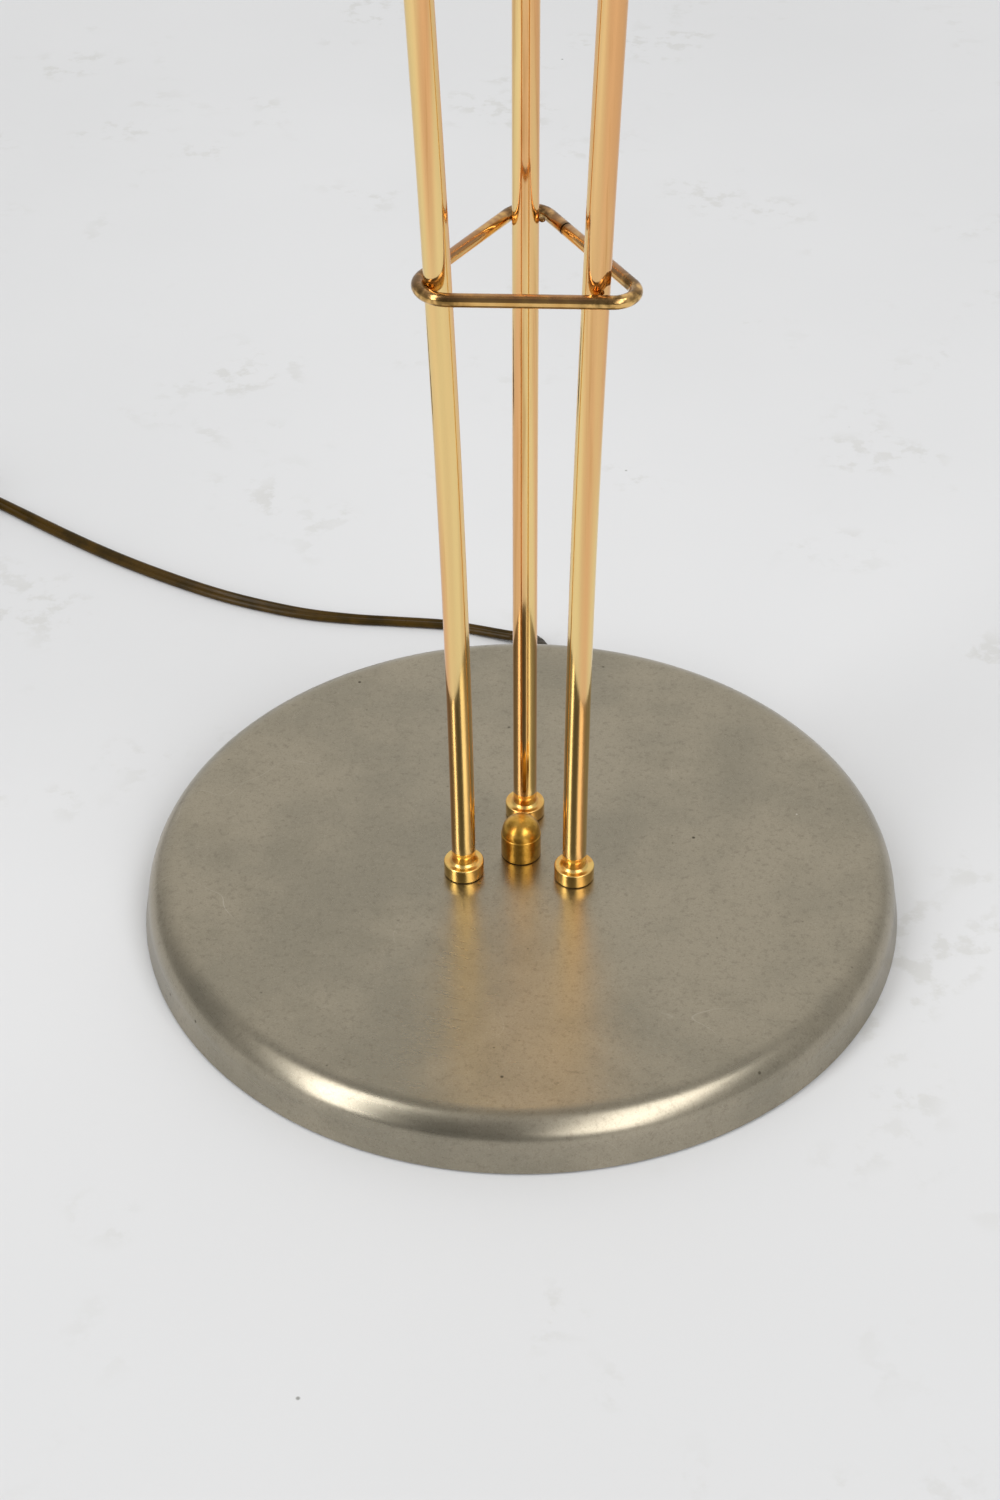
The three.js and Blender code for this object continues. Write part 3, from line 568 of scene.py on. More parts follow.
CORD = moulded("cord", "44310b", "312406", 0.22, shine=0.15)
RUBBER = moulded("rubber", "3a2f1d", "2b2416", 0.45, 0.2)
PLUG = moulded("plug", "4a3b20", "3d3019", 0.32)
PHENOLIC = moulded("phenolic", "221c15", "17140f", 0.2)
TIE = moulded("tie", "26262a", "1d1d20", 0.6, 0.6)


# %% Cord, bush, relief and tie
def cord_section():
    """Two overlapping circles: half of each, joined at the grooves."""
    lobe, aside = CORD_THICK / 2, (CORD_WIDTH - CORD_THICK) / 2
    open_angle = math.acos(-aside / lobe)
    angles = [between(-open_angle, open_angle, i / 8) for i in range(9)]
    right = [(aside + lobe * math.cos(a), lobe * math.sin(a), 0) for a in angles]
    left = [(-x, y, 0) for x, y, _ in reversed(right)]
    mesh, _ = wire(right + left[1:-1], closed=True)
    return mesh


cord_frames = [
    place @ Matrix.Rotation(-twist, 4, "Z")
    for place, twist in zip(frames_along(cord_path), cord_twists)
]
cord = piece(
    "cord", sweep(cord_section(), cord_frames), CORD,
    ("supply_cord", "cord_coil", "cord_tail"),
)
cord_places = frames_along([cord_start(s) * MM for s in range(int(RELIEF_LENGTH) + 1)])
relief_places = []
for s, frame_place in enumerate(cord_places):
    groove = 0.9 if s % 4 == 3 and 2 < s < 18 else 1.0
    width = between(4.3, 3.0, s / RELIEF_LENGTH) * groove
    relief_places.append(frame_place @ Matrix.Diagonal((width, width, 1, 1)))
relief = piece(
    "strain_relief", sweep(circle(1, 28), relief_places), RUBBER,
    ("cord_strain_relief",), crease=50,
)
BASE_RADIUS = 152.4
bush = turned(
    [(0, -8.5, 0), (4.1, -8.5, 0.4), (4.1, 0.3, 0), (5.6, 0.3, 0.2), (5.6, 1.4, 0.5), (0, 1.4, 0)],
    steps=36,
)
piece(
    "cord_bush", moved(bush, at(0, BASE_RADIUS, EXIT.z) @ turn(-90, "X")), RUBBER,
    ("cord_bushing",),
)

# %% [markdown]
# The wound part is held by a strap: a rounded rectangle round the coil's section, swept
# as a closed ring and given its thickness by Solidify.

# %% Strap round the coil
STRAP_ANGLE, STRAP_INNER, STRAP_OUTER, STRAP_LOW, STRAP_HIGH = 300, 19.4, 41.9, 0.35, 14.5
strap_corners = [
    (STRAP_INNER, STRAP_LOW), (STRAP_OUTER, STRAP_LOW),
    (STRAP_OUTER, STRAP_HIGH), (STRAP_INNER, STRAP_HIGH),
]
strap_mesh = band(strap_corners, rounding=1.6, segments=5, width=8, closed=True)
moved(strap_mesh, Matrix.Translation(COIL_MIDDLE * MM) @ turn(STRAP_ANGLE))
strap = piece("coil_strap", strap_mesh, TIE, crease=60)
thicken = strap.modifiers.new("thickness", "SOLIDIFY")
thicken.thickness = 0.6 * MM
thicken.offset = 0

# %% [markdown]
# ## Plug
# A flat two-blade plug. The body is an outline drawn flat, extruded to its height and
# bevelled, with finger grooves across it. The blades are the frame's own.

# %% Plug
plug_turn = math.degrees(math.atan2(coil_tangent(COIL_EXIT).y, coil_tangent(COIL_EXIT).x))
plug_place = coil_point(COIL_WINDS) + coil_tangent(COIL_EXIT) * TAIL_LENGTH
half_outline = [(0, -5.5, 1), (8, -6.5, 3), (15, -12.5, 4), (31, -12.5, 2)]
outline = half_outline + [(x, -y, rounding) for x, y, rounding in reversed(half_outline)]
plug_mesh, plug_corners = wire([(x, y, 0) for x, y, _ in outline], closed=True)
for corner, (_, _, rounding) in zip(plug_corners, outline):
    rounded(plug_mesh, corner, rounding, 5)
bottom = bmesh.ops.contextual_create(plug_mesh, geom=plug_mesh.edges[:])["faces"]
grown = bmesh.ops.extrude_face_region(plug_mesh, geom=bottom)["geom"]
lifted = [part for part in grown if isinstance(part, bmesh.types.BMVert)]
bmesh.ops.translate(plug_mesh, verts=lifted, vec=Vector((0, 0, PLUG_HEIGHT)) * MM)
rims = [
    edge for edge in plug_mesh.edges
    if abs(edge.verts[0].co.z - edge.verts[1].co.z) < 1e-6
]
bmesh.ops.bevel(
    plug_mesh, geom=rims, offset=2.2 * MM, offset_type="OFFSET", affect="EDGES",
    segments=5, profile=0.5, material=-1,
)
GROOVES_AT = (18, 21, 24, 27)
for cut_at in (edge for start in GROOVES_AT for edge in (start, start + 1)):
    bmesh.ops.bisect_plane(
        plug_mesh, geom=plug_mesh.verts[:] + plug_mesh.edges[:] + plug_mesh.faces[:],
        plane_co=Vector((cut_at, 0, 0)) * MM, plane_no=(1, 0, 0), dist=1e-7,
    )
grooves = [
    face for face in plug_mesh.faces
    if abs(face.normal.z) > 0.9 and int(face.calc_center_median().x / MM) in GROOVES_AT
]
for face in grooves:
    bmesh.ops.inset_individual(plug_mesh, faces=[face], thickness=0.15 * MM, depth=-0.5 * MM)
moved(plug_mesh, at(plug_place.x, plug_place.y, 0.1) @ turn(plug_turn))
plug = piece("plug", plug_mesh, PLUG, ("plug_body",))

# %% [markdown]
# ## Base
# The cover is spun from sheet: a flat top, a round shoulder and a short skirt that flares
# a little at the floor. Its profile has the sheet's real thickness, so it is a closed shell.

# %% Base cover
cover = turned(
    [
        (0, 22.2, 0), (60, 22.2, 0), (110, 22.2, 0), (150.4, 22.2, 12), (150.6, 9, 0),
        (152.4, 0.8, 0.4), (150.9, 0.8, 0.4), (149.1, 9, 0), (148.9, 20.7, 10.5), (110, 20.7, 0),
        (0, 20.7, 0),
    ],
    steps=192, round_steps=14,
)
piece("base_shell", cover, NICKEL, ("base_cover",))

# %% Centre nut
nut = turned(
    [
        (0, 12.4, 0), (3.5, 12.4, 0), (3.5, 0, 0), (7.95, 0, 0.3), (7.95, 10.5, 0.25),
        (7.72, 10.6, 0), (7.66, 11.6, 0), (7.45, 12.9, 0), (6.95, 14.3, 0), (6.05, 15.6, 0),
        (4.8, 16.6, 0), (3.2, 17.3, 0), (1.5, 17.65, 0), (0, 17.7, 0),
    ],
    steps=64,
)
BASE_HEIGHT, GAP = 22.2, 0.3
moved(nut, at(0, 0, BASE_HEIGHT + GAP))
piece("centre_nut", nut, SATIN_BRASS, ("centre_cap_nut",))

# %% [markdown]
# ## Stems and collars
# Each stem is a brass tube that stands square to the base and to the head and springs
# outwards between them, which a smooth step describes. A ring is swept along that line
# and Solidify gives the wall. The same collar closes the joint at both ends: polished on
# its side, duller on its top, and with a small fillet against the stem.

# %% Stems
STEM_RADIUS, STEM_FOOT_AT, STEM_HEAD_AT, HEAD_Z = 4.76, 25.4, 66, 1200
STEM_ANGLES = {"rear": 90, "left": 210, "right": 330}


def stem_at(z):
    return between(STEM_FOOT_AT, STEM_HEAD_AT, ease((z - BASE_HEIGHT) / (HEAD_Z - BASE_HEIGHT)))


def stem(side, degrees):
    low, high, steps = BASE_HEIGHT + GAP, HEAD_Z - GAP, 72
    heights = [between(low, high, i / steps) for i in range(steps + 1)]
    path = [turn(degrees) @ Vector((stem_at(z), 0, z)) * MM for z in heights]
    across = turn(degrees) @ Vector((0, 1, 0))
    mesh = sweep(circle(STEM_RADIUS, 40), frames_along(path, across), caps=False)
    made = piece(f"stem_tube_{side}", mesh, BRASS, (f"stem_{side}",))
    wall = made.modifiers.new("wall", "SOLIDIFY")
    wall.thickness = 0.86 * MM
    wall.offset = -1


def collar():
    return turned(
        [
            (4.74, 0, 0), (7.95, 0, 0.35), (7.95, 6, 0.7), (7, 5.85, 0.3), (5.7, 5.75, 0.5),
            (4.74, 6.7, 0),
        ],
        steps=64, closed=True,
    )


COLLAR_TOPS = [(27.8, 50), (1150, 1194.4)]
COLLAR_BRASS = brass("collar_brass", "e6b466", "efca7a", satin_between=COLLAR_TOPS)
for side, degrees in STEM_ANGLES.items():
    stem(side, degrees)
    foot = moved(collar(), turn(degrees) @ at(STEM_FOOT_AT, 0, BASE_HEIGHT + GAP))
    piece(f"collar_low_{side}", foot, COLLAR_BRASS, (f"foot_collar_{side}",))
    high_place = turn(degrees) @ at(STEM_HEAD_AT, 0, HEAD_Z - GAP) @ turn(180, "X")
    top = moved(collar(), high_place)
    piece(f"collar_high_{side}", top, COLLAR_BRASS, (f"head_collar_{side}",))

# %% [markdown]
# ## Brace ring
# A rod bent into a triangle with round corners, whose ends meet in a butt joint on one
# bar. The path goes once round from one end to the other: a straight bar, then a corner,
# three times. It was bent by hand, so each corner has its own radius. The ring was brazed
# after polishing, so heat has left brown tarnish at its corners and at the joint, and small
# dark fillets of brazing metal bridge it to the stems. The top of the rod is tinted a mottled
# purple-brown: partly tarnish, partly a painted sheen for the light that its top reflects.

# %% Path of the brace ring
BRACE_Z, BRACE_WIRE, BRACE_BAR_AT, JOINT_ALONG, JOINT_GAP = 284.6, 2.38, 25, 16.5, 0.7
BRACE_ASIDE, BRACE_TURN = 1.75, 1.5
BRACE_PLACE = at(BRACE_ASIDE, 0, BRACE_Z) @ turn(BRACE_TURN)
CORNER_RADII = {"rear": 8.6, "left": 11, "right": 8}


def heading(degrees):
    return Vector((math.cos(math.radians(degrees)), math.sin(math.radians(degrees)), 0))


def bent_corner(degrees, radius, steps=28):
    """The middle line round one corner, whose bars both stand BRACE_BAR_AT from the axis."""
    centre = heading(degrees) * 2 * (BRACE_BAR_AT - radius)
    return [centre + heading(degrees - 60 + 120 * i / steps) * radius for i in range(steps + 1)]


def bars_and_corners(points):
    """The same path, with 8 places along each of its long straight bars."""
    for a, b in zip(points, points[1:]):
        yield from (between(a, b, i / 8) for i in range(8 if (b - a).length > 4 else 1))
    yield points[-1]


joint_at = heading(30) * BRACE_BAR_AT + heading(120) * JOINT_ALONG
ends = [joint_at + heading(120) * JOINT_GAP / 2, joint_at - heading(120) * JOINT_GAP / 2]
bends = [bent_corner(STEM_ANGLES[side], radius) for side, radius in CORNER_RADII.items()]
corner_places = [place for bend in bends for place in bend]
brace_line = bars_and_corners([ends[0], *corner_places, ends[1]])
brace_path = [BRACE_PLACE @ (point * MM) for point in brace_line]
joint_place = BRACE_PLACE @ (joint_at * MM)
print("the brace has", len(brace_path), "places; joint at", tuple(round(v, 4) for v in joint_place))


# %% Tarnished brass
def tarnish_and_sheen_brass():
    finish = Finish("tarnish_and_sheen_brass")
    place = finish.place()
    x, y, z = finish.split(place)
    height = (z - BRACE_Z * MM) / (BRACE_WIRE * MM)
    across = x - BRACE_ASIDE * MM
    from_axis = (across * across + y * y) ** 0.5
    mottle = finish.noise(place, 260.0, 3.0, 0.55)
    broad = finish.noise(place, 75.0, 3.0)
    # The top of the rod is tinted a mottled purple-brown: partly tarnish, partly a painted sheen
    # for the light that its top reflects.
    tarnish_and_sheen_on_top = finish.step(height, 0.1, 0.75) * finish.step(broad * 0.5 + mottle * 0.5, 0.3, 0.6)
    corners = finish.step(from_axis, 0.031, 0.037) * finish.step(mottle, 0.36, 0.6)
    from_joint = finish.vector("DISTANCE", place, tuple(joint_place), output="Value")
    at_joint = finish.step(from_joint, 0.0034, 0.0022)
    stain = finish.math("MAXIMUM", corners, at_joint)
    tone = finish.mix(paint("efc37c"), paint("dcac66"), finish.step(broad, 0.4, 0.65))
    # Painted sheen and tarnish: the purple-brown on the top of the rod.
    tone = finish.mix(tone, paint("966a56"), tarnish_and_sheen_on_top * 0.7)
    tone = finish.mix(tone, paint("5c4724"), stain * 0.75)
    rough = 0.08 + tarnish_and_sheen_on_top * 0.1 + stain * 0.08
    return finish.surface(
        base_color=tone, metallic=1.0, roughness=rough,
        normal=finish.bump(mottle, 0.02, 0.0001),
    )


TARNISH_AND_SHEEN = tarnish_and_sheen_brass()
brace_mesh = sweep(circle(BRACE_WIRE, 24), frames_along(brace_path))
piece("brace", brace_mesh, TARNISH_AND_SHEEN, ("brace_ring",), crease=50)


# %% Brazing fillets
def fillet(name, stem_side, towards, size):
    """A blob of brazing metal between a stem and the point of the ring nearest to it."""
    stem_place = turn(STEM_ANGLES[stem_side]) @ Vector((stem_at(BRACE_Z), 0, BRACE_Z)) * MM
    target = stem_place + heading(towards) * 9 * MM
    nearest = min(brace_path, key=lambda p: (p - target).length)
    aim = (nearest - stem_place).normalized()
    middle = between(stem_place + aim * STEM_RADIUS * MM, nearest - aim * BRACE_WIRE * MM, 0.5)
    facing = Matrix((aim, Vector((-aim.y, aim.x, 0)), Vector((0, 0, 1)))).transposed().to_4x4()
    mesh = bmesh.new()
    bmesh.ops.create_icosphere(mesh, subdivisions=4, radius=MM)
    shape = Matrix.Diagonal((*size, 1))
    moved(mesh, Matrix.Translation(middle) @ facing @ shape)
    piece(name, mesh, BRAZE)


BRAZE = brass("braze", "6b4f2c", "86653a", smooth=0.25)
fillet("braze_left", "left", 215, (0.9, 1.8, 0.7))
fillet("braze_right", "right", 300, (1.1, 1.6, 0.7))
fillet("braze_rear_left", "rear", 150, (1.1, 1.4, 0.7))
fillet("braze_rear_right", "rear", 30, (1.1, 1.4, 0.7))

# %% [markdown]
# ## Head
# The head echoes the base, upside down: a shallow pan under a flat lid. A domed nut below
# it clamps the stack that carries the lampholder.

# %% Head pan, lid and nut
pan = turned(
    [
        (5.6, 1200, 0), (40, 1200, 0), (90, 1200, 9), (90, 1216, 0.4), (88, 1216, 0.4),
        (88, 1202, 7), (40, 1202, 0), (5.6, 1202, 0),
    ],
    steps=128, closed=True, round_steps=10,
)
piece("head_shell", pan, NICKEL, ("head_pan",))
lid = turned(
    [(5.6, 1216.3, 0), (90, 1216.3, 0.3), (90, 1218.3, 0.8), (40, 1218.3, 0), (5.6, 1218.3, 0)],
    steps=128, closed=True,
)
piece("head_cover", lid, NICKEL, ("head_lid",))
head_nut = turned(
    [
        (0, 10.5, 0), (5.3, 10.5, 0), (5.3, 0, 0), (9.5, 0, 0.4), (9.5, 9.3, 0.4), (8.8, 9.5, 0),
        (8.6, 11.6, 0), (7.9, 13.4, 0), (6.6, 14.9, 0), (4.6, 15.8, 0), (2.4, 16.2, 0),
        (0, 16.3, 0),
    ],
    steps=64,
)
moved(head_nut, at(0, 0, HEAD_Z - GAP) @ turn(180, "X"))
piece("head_nut", head_nut, SATIN_BRASS, ("head_cap_nut",))

# %% [markdown]
# ## Lampholder, switch and bulb
# A brass shell with a beaded rim sits in a brass cap. The switch knob is a small flat key
# on a steel spindle. The bulb is opal glass on a threaded base.

# %% Lampholder
SOCKET_Z = 1220.9
cap = turned(
    [
        (5.3, 0, 0), (9, 0, 1), (15.5, 4, 2), (17.5, 9, 1.5), (17.5, 12, 0), (18.1, 12.8, 0.3),
        (17.5, 13.6, 0), (17.5, 17, 0.5), (16.3, 17, 0.3), (16.3, 9.6, 1.5), (14.4, 5.2, 1.5),
        (8.5, 1.4, 0.5), (5.3, 1.4, 0),
    ],
    steps=72, closed=True,
)
piece("holder_cap", moved(cap, at(0, 0, SOCKET_Z)), BRASS, ("socket_cap",))
shell = turned(
    [
        (15.7, 17.3, 0), (16.5, 17.3, 0), (16.5, 44, 0), (17, 45, 0.3), (16.5, 46, 0),
        (16.5, 48, 0), (17, 49, 0.3), (16.5, 50, 0), (16.5, 62.5, 0), (17.1, 63.4, 0.4),
        (16.6, 64, 0.2), (15.7, 64, 0),
    ],
    steps=72, closed=True,
)
piece("holder_shell", moved(shell, at(0, 0, SOCKET_Z)), BRASS, ("socket_shell",))
liner_section = [(14.4, 17.3, 0), (15.4, 17.3, 0), (15.4, 62, 0), (14.4, 62, 0)]
liner = turned(liner_section, steps=64, closed=True)
print("holder top at", SOCKET_Z + 64)


# %% Switch knob
SWITCH_Z, KNOB_AT = SOCKET_Z + 27, -22.9
KNOB_NECK, KNOB_FLAT, FLAT_GROWS_OVER = 3.5, 2.6, 3
knob = turned([(0, 0, 0), (4.4, 0, 0.5), (5.2, 13, 1.2), (0, 13, 0)], steps=48)
for side in (1, -1):
    for vert in knob.verts:
        if vert.co.y * side > KNOB_FLAT * MM and vert.co.z > KNOB_NECK * MM:
            share = ease((vert.co.z / MM - KNOB_NECK) / FLAT_GROWS_OVER)
            vert.co.y = between(vert.co.y, side * KNOB_FLAT * MM, share)
knob_place = at(0, KNOB_AT, SWITCH_Z) @ turn(90, "X")
piece("knob", moved(knob, knob_place), PHENOLIC, ("switch_knob",), body="switch")

# %% Bulb
BULB_BASE_Z = SOCKET_Z + 39
BULB_GLASS_Z = BULB_BASE_Z + 26
glass = turned(
    [
        (12.2, 0, 0), (12.8, 0, 0), (13.6, 6, 6), (17, 18, 8), (24, 31, 9), (28.8, 42, 8),
        (30, 51, 4), (28.9, 60.5, 5), (24.5, 68.6, 6), (17.5, 75, 6), (9, 80.1, 5), (0, 81, 0),
    ],
    steps=72, round_steps=4,
)
bmesh.ops.contextual_create(glass, geom=[e for e in glass.edges if e.is_boundary])
thread = [(0, 0.2, 0), (4, 0.2, 0.5), (5, 2.5, 1), (12.4, 5, 0.6)]
for i in range(6):
    thread += [(12.1, 6 + i * 3.2, 0), (12.9, 7.6 + i * 3.2, 0.7)]
thread += [(12.2, 25.4, 0), (0, 25.4, 0)]

# %% [markdown]
# Steel is used where it hardly shows: nuts, nipples, the bolt, the spindle and the bulb's
# threaded base. Cast iron, felt and the card liner get a finish too, since a reader may
# take the lamp apart. Opal glass lets a little light through, so it has transmission.


# %% Steel, iron, felt, card and glass
def steel():
    finish = Finish("steel")
    place = finish.place()
    grain = finish.noise(place, 900.0, 3.0, 0.7)
    stain = finish.noise(place, 90.0, 4.0)
    tone = finish.mix(paint("a9a9a6"), paint("80807c"), finish.step(stain, 0.4, 0.7))
    return finish.surface(
        base_color=tone, metallic=1.0, roughness=0.28 + grain * 0.2,
        normal=finish.bump(grain, 0.2, 0.0001),
    )


def rough_finish(name, light, dark, scale, strength, metal=0.0, rough=0.75):
    finish = Finish(name)
    place = finish.place()
    coarse = finish.noise(place, scale, 5.0, 0.7)
    fine = finish.noise(place, scale * 7, 3.0, 0.6)
    both = coarse * 0.5 + fine * 0.5
    tone = finish.mix(paint(light), paint(dark), finish.step(both, 0.38, 0.62))
    return finish.surface(
        base_color=tone, metallic=metal, roughness=rough + fine * 0.15,
        normal=finish.bump(coarse + fine, strength, 0.0004),
    )


def opal():
    finish = Finish("opal_glass")
    clouds = finish.noise(finish.place(), 40.0, 3.0)
    tone = finish.mix(paint("f6f4ec"), paint("ece9df"), finish.step(clouds, 0.35, 0.65))
    return finish.surface(
        base_color=tone, roughness=0.22 + clouds * 0.08, transmission_weight=0.25, ior=1.45,
    )


STEEL, OPAL = steel(), opal()
CAST_IRON = rough_finish("cast_iron", "393836", "2a2928", 300.0, 0.6, metal=0.6, rough=0.6)
FELT = rough_finish("felt", "2f3029", "1d1e1a", 900.0, 0.9, rough=0.85)
CARD = rough_finish("card", "9a8660", "85724f", 260.0, 0.3, rough=0.8)
piece("holder_liner", moved(liner, at(0, 0, SOCKET_Z)), CARD, ("socket_liner",))
piece("bulb", moved(glass, at(0, 0, BULB_GLASS_Z)), OPAL, ("bulb_glass",))
bulb_thread = moved(turned(thread, 64), at(0, 0, BULB_BASE_Z))
piece("bulb_thread", bulb_thread, STEEL, ("bulb_base",))

# %% [markdown]
# ## Harp, saddle, spider and finial
# The harp is a bent wire that carries the shade. It plugs into a strip under the
# lampholder, with a small sleeve over each joint. The shade's spider rests on top of it,
# and the finial screws down on the spider.

# %% Harp and saddle
HARP_FOOT, HARP_HALF_WIDTH, HARP_FOOT_Z, HARP_TOP_Z = 29, 57, 1248, 1476
harp_side = [
    (HARP_FOOT, 0, HARP_FOOT_Z - 9.9), (HARP_FOOT + 0.5, 0, HARP_FOOT_Z + 6),
    (HARP_FOOT + 13, 0, HARP_FOOT_Z + 36), (HARP_HALF_WIDTH, 0, HARP_FOOT_Z + 88),
    (HARP_HALF_WIDTH - 4, 0, HARP_FOOT_Z + 150),
    (HARP_HALF_WIDTH - 24, 0, HARP_TOP_Z - 22), (14, 0, HARP_TOP_Z - 3),
]
harp_points = harp_side + [(0, 0, HARP_TOP_Z)] + [(-x, y, z) for x, y, z in reversed(harp_side)]
harp_mesh = sweep(circle(1.9, 20), frames_along(smooth_path(harp_points, 8), (0, 1, 0)))
piece("harp_wire", harp_mesh, BRASS, ("harp",))
boss = turned(
    [(0, -3, 0), (6, -3, 0.5), (6, 2.2, 0.5), (3, 2.2, 0.3), (3, 16, 0.5), (0, 16, 0)], steps=48,
)
piece("harp_boss", moved(boss, at(0, 0, HARP_TOP_Z)), BRASS)
for name, side in (("right", 1), ("left", -1)):
    sleeve_section = [(2.1, 0, 0), (3.4, 0, 0.3), (3.4, 14, 0.7), (2.1, 14, 0)]
    sleeve = turned(sleeve_section, steps=32, closed=True)
    moved(sleeve, at(side * (HARP_FOOT + 0.2), 0, HARP_FOOT_Z - 9.95))
    piece(f"harp_sleeve_{name}", sleeve, BRASS)
saddle_half = [(30, 1238), (30, 1228), (23, 1219.6)]
saddle_line = saddle_half + [(-x, z) for x, z in reversed(saddle_half)]
saddle_mesh = band(saddle_line, rounding=3, segments=6, width=14)
saddle = piece("saddle", saddle_mesh, BRASS, ("harp_saddle",))
strip = saddle.modifiers.new("strip", "SOLIDIFY")
strip.thickness, strip.offset = 1.9 * MM, 0
edges = saddle.modifiers.new("edges", "BEVEL")
edges.width, edges.segments, edges.limit_method = 0.4 * MM, 3, "ANGLE"

# %% Spider, bottom ring and finial
SHADE_LOW, SHADE_HIGH, SHADE_LOW_RADIUS, SHADE_HIGH_RADIUS = 1226, 1502, 222, 202
SHADE_WIRE = 1.6


def hoop(name, radius, z, replaces, steps=144):
    path = []
    for i in range(steps):
        angle = math.tau * i / steps
        path.append(Vector((radius * math.cos(angle), radius * math.sin(angle), z)) * MM)
    mesh = sweep(circle(SHADE_WIRE, 12), frames_along(path, closed=True), closed=True)
    return piece(name, mesh, BRASS, replaces)


top_wire = hoop("shade_top_wire", 197.6, SHADE_HIGH - 5, ("shade_spider",))
low_wire = hoop("shade_low_wire", 217.6, SHADE_LOW + 4, ("shade_bottom_ring",))
hub = turned([(3.5, 0, 0.2), (15, 0, 0.5), (15, 2, 0.5), (3.5, 2, 0.2)], steps=64, closed=True)
piece("spider_hub", moved(hub, at(0, 0, HARP_TOP_Z + 2.5)), BRASS)
for side, degrees in STEM_ANGLES.items():
    spoke = [(10, 0, 1479.5), (24, 0, 1479.6), (90, 0, 1482.6), (197.6, 0, 1497)]
    path = [turn(degrees) @ p for p in smooth_path(spoke, 8)]
    piece(f"spider_arm_{side}", sweep(circle(1.4, 16), frames_along(path)), BRASS)
finial = turned(
    [
        (0, 13.5, 0), (3.3, 13.5, 0), (3.3, 0, 0), (6, 0, 0.4), (6, 2, 0.8), (4.2, 4.6, 0.8),
        (4.2, 7.6, 0.8), (5.9, 9.6, 1), (7.5, 13.4, 3), (7.3, 17.6, 3), (5, 21.2, 2.4),
        (2, 22.5, 1), (0, 22.6, 0),
    ],
    steps=64, round_steps=5,
)
moved(finial, at(0, 0, HARP_TOP_Z + 4.9))
piece("finial_knob", finial, SATIN_BRASS, ("finial",))

# %% [markdown]
# ## Shade
# Linen laminated on a stiff lining, rolled into a slightly tapered drum and edged with a
# folded tape top and bottom. The weave follows the cloth: its two directions are the way
# round the drum and its height, so threads keep their width wherever they are.


# %% Linen and tape
SHADE_MIDDLE_RADIUS = 0.212


def linen(name, light, dark, thread):
    finish = Finish(name)
    place = finish.place()
    x, y, z = finish.split(place)
    along = finish.math("ARCTAN2", y, x) * SHADE_MIDDLE_RADIUS
    slubs = finish.noise(finish.join(along * 30, z * 900, 0.0), 1.0, 3.0)
    uprights = finish.noise(finish.join(along * 900, z * 30, 3.0), 1.0, 3.0)
    weft = finish.math("SINE", z * (math.tau / thread) + slubs * 5)
    warp = finish.math("SINE", along * (math.tau / thread) + uprights * 5)
    weave = finish.math("MAXIMUM", weft * (0.6 + slubs), warp * (0.6 + uprights))
    tone = finish.mix(paint(light), paint(dark), finish.step(weave, 0.5, -0.5))
    tone = finish.mix(tone, paint("cbbf9f"), finish.step(slubs, 0.6, 0.8) * 0.5)
    tone = finish.mix(tone, paint("f6f1e4"), finish.step(uprights, 0.62, 0.8) * 0.5)
    return finish.surface(
        base_color=tone, roughness=0.9, sheen_weight=0.15,
        normal=finish.bump(weave, 0.5, 0.00025),
    )


LINEN = linen("linen", "ece5d5", "d5cab3", 0.0011)
TAPE = linen("tape", "e6dec9", "cfc4ab", 0.0008)
SHADE_SIDES = 180
skin, _ = wire([
    (SHADE_LOW_RADIUS - 0.3, 0, SHADE_LOW + 0.4), (SHADE_HIGH_RADIUS - 0.3, 0, SHADE_HIGH - 0.4),
])
bmesh.ops.subdivide_edges(skin, edges=skin.edges[:], cuts=11)
bmesh.ops.spin(
    skin, geom=skin.verts[:] + skin.edges[:], axis=(0, 0, 1), cent=(0, 0, 0), dvec=(0, 0, 0),
    angle=math.tau, steps=SHADE_SIDES, use_merge=True,
)
shade = piece("shade_cloth", skin, LINEN, ("shade_skin",))
lining = shade.modifiers.new("lining", "SOLIDIFY")
lining.thickness, lining.offset = 0.8 * MM, -1


def hem(name, radius, z, height):
    tilt = (SHADE_LOW_RADIUS - SHADE_HIGH_RADIUS) / (SHADE_HIGH - SHADE_LOW)
    upper = radius - tilt * height
    corners = [
        (radius + 0.35, z, 0), (upper + 0.35, z + height, 0), (upper - 0.2, z + height, 0),
        (radius - 0.2, z, 0),
    ]
    return piece(name, turned(corners, SHADE_SIDES, closed=True), TAPE)


HEM_HEIGHT = 9
hem_low = hem("shade_hem_low", SHADE_LOW_RADIUS, SHADE_LOW, HEM_HEIGHT)
hem_high = hem("shade_hem_high", SHADE_HIGH_RADIUS + 0.65, SHADE_HIGH - HEM_HEIGHT, HEM_HEIGHT)

# %% [markdown]
# ## The frame's own pieces
# Nuts, nipples, the bolt, the weight and the felt pad keep the frame's shapes and get the
# finishes above. A short table gives each one's finish by the start of its name.

# %% Finishes for the frame's pieces
KEPT = {
    "foot_nipple": STEEL, "foot_nut": STEEL, "head_nipple": STEEL, "head_nut_": STEEL,
    "centre_bolt": STEEL, "centre_washer": STEEL, "head_centre_nipple": STEEL,
    "switch_spindle": STEEL, "base_weight": CAST_IRON, "base_felt_pad": FELT,
    "inner_lead": CORD, "socket_core": PHENOLIC, "socket_screw_shell": BRASS,
    "socket_centre_contact": BRASS, "plug_blade": BRASS,
}
for name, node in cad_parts.items():
    for start, finish in KEPT.items():
        if name.startswith(start):
            for slot_of_node in node.material_slots:
                slot_of_node.material = finish
shown = [name for name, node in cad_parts.items() if not node.hide_render]
print("frame pieces shown:", len(shown), sorted(shown))
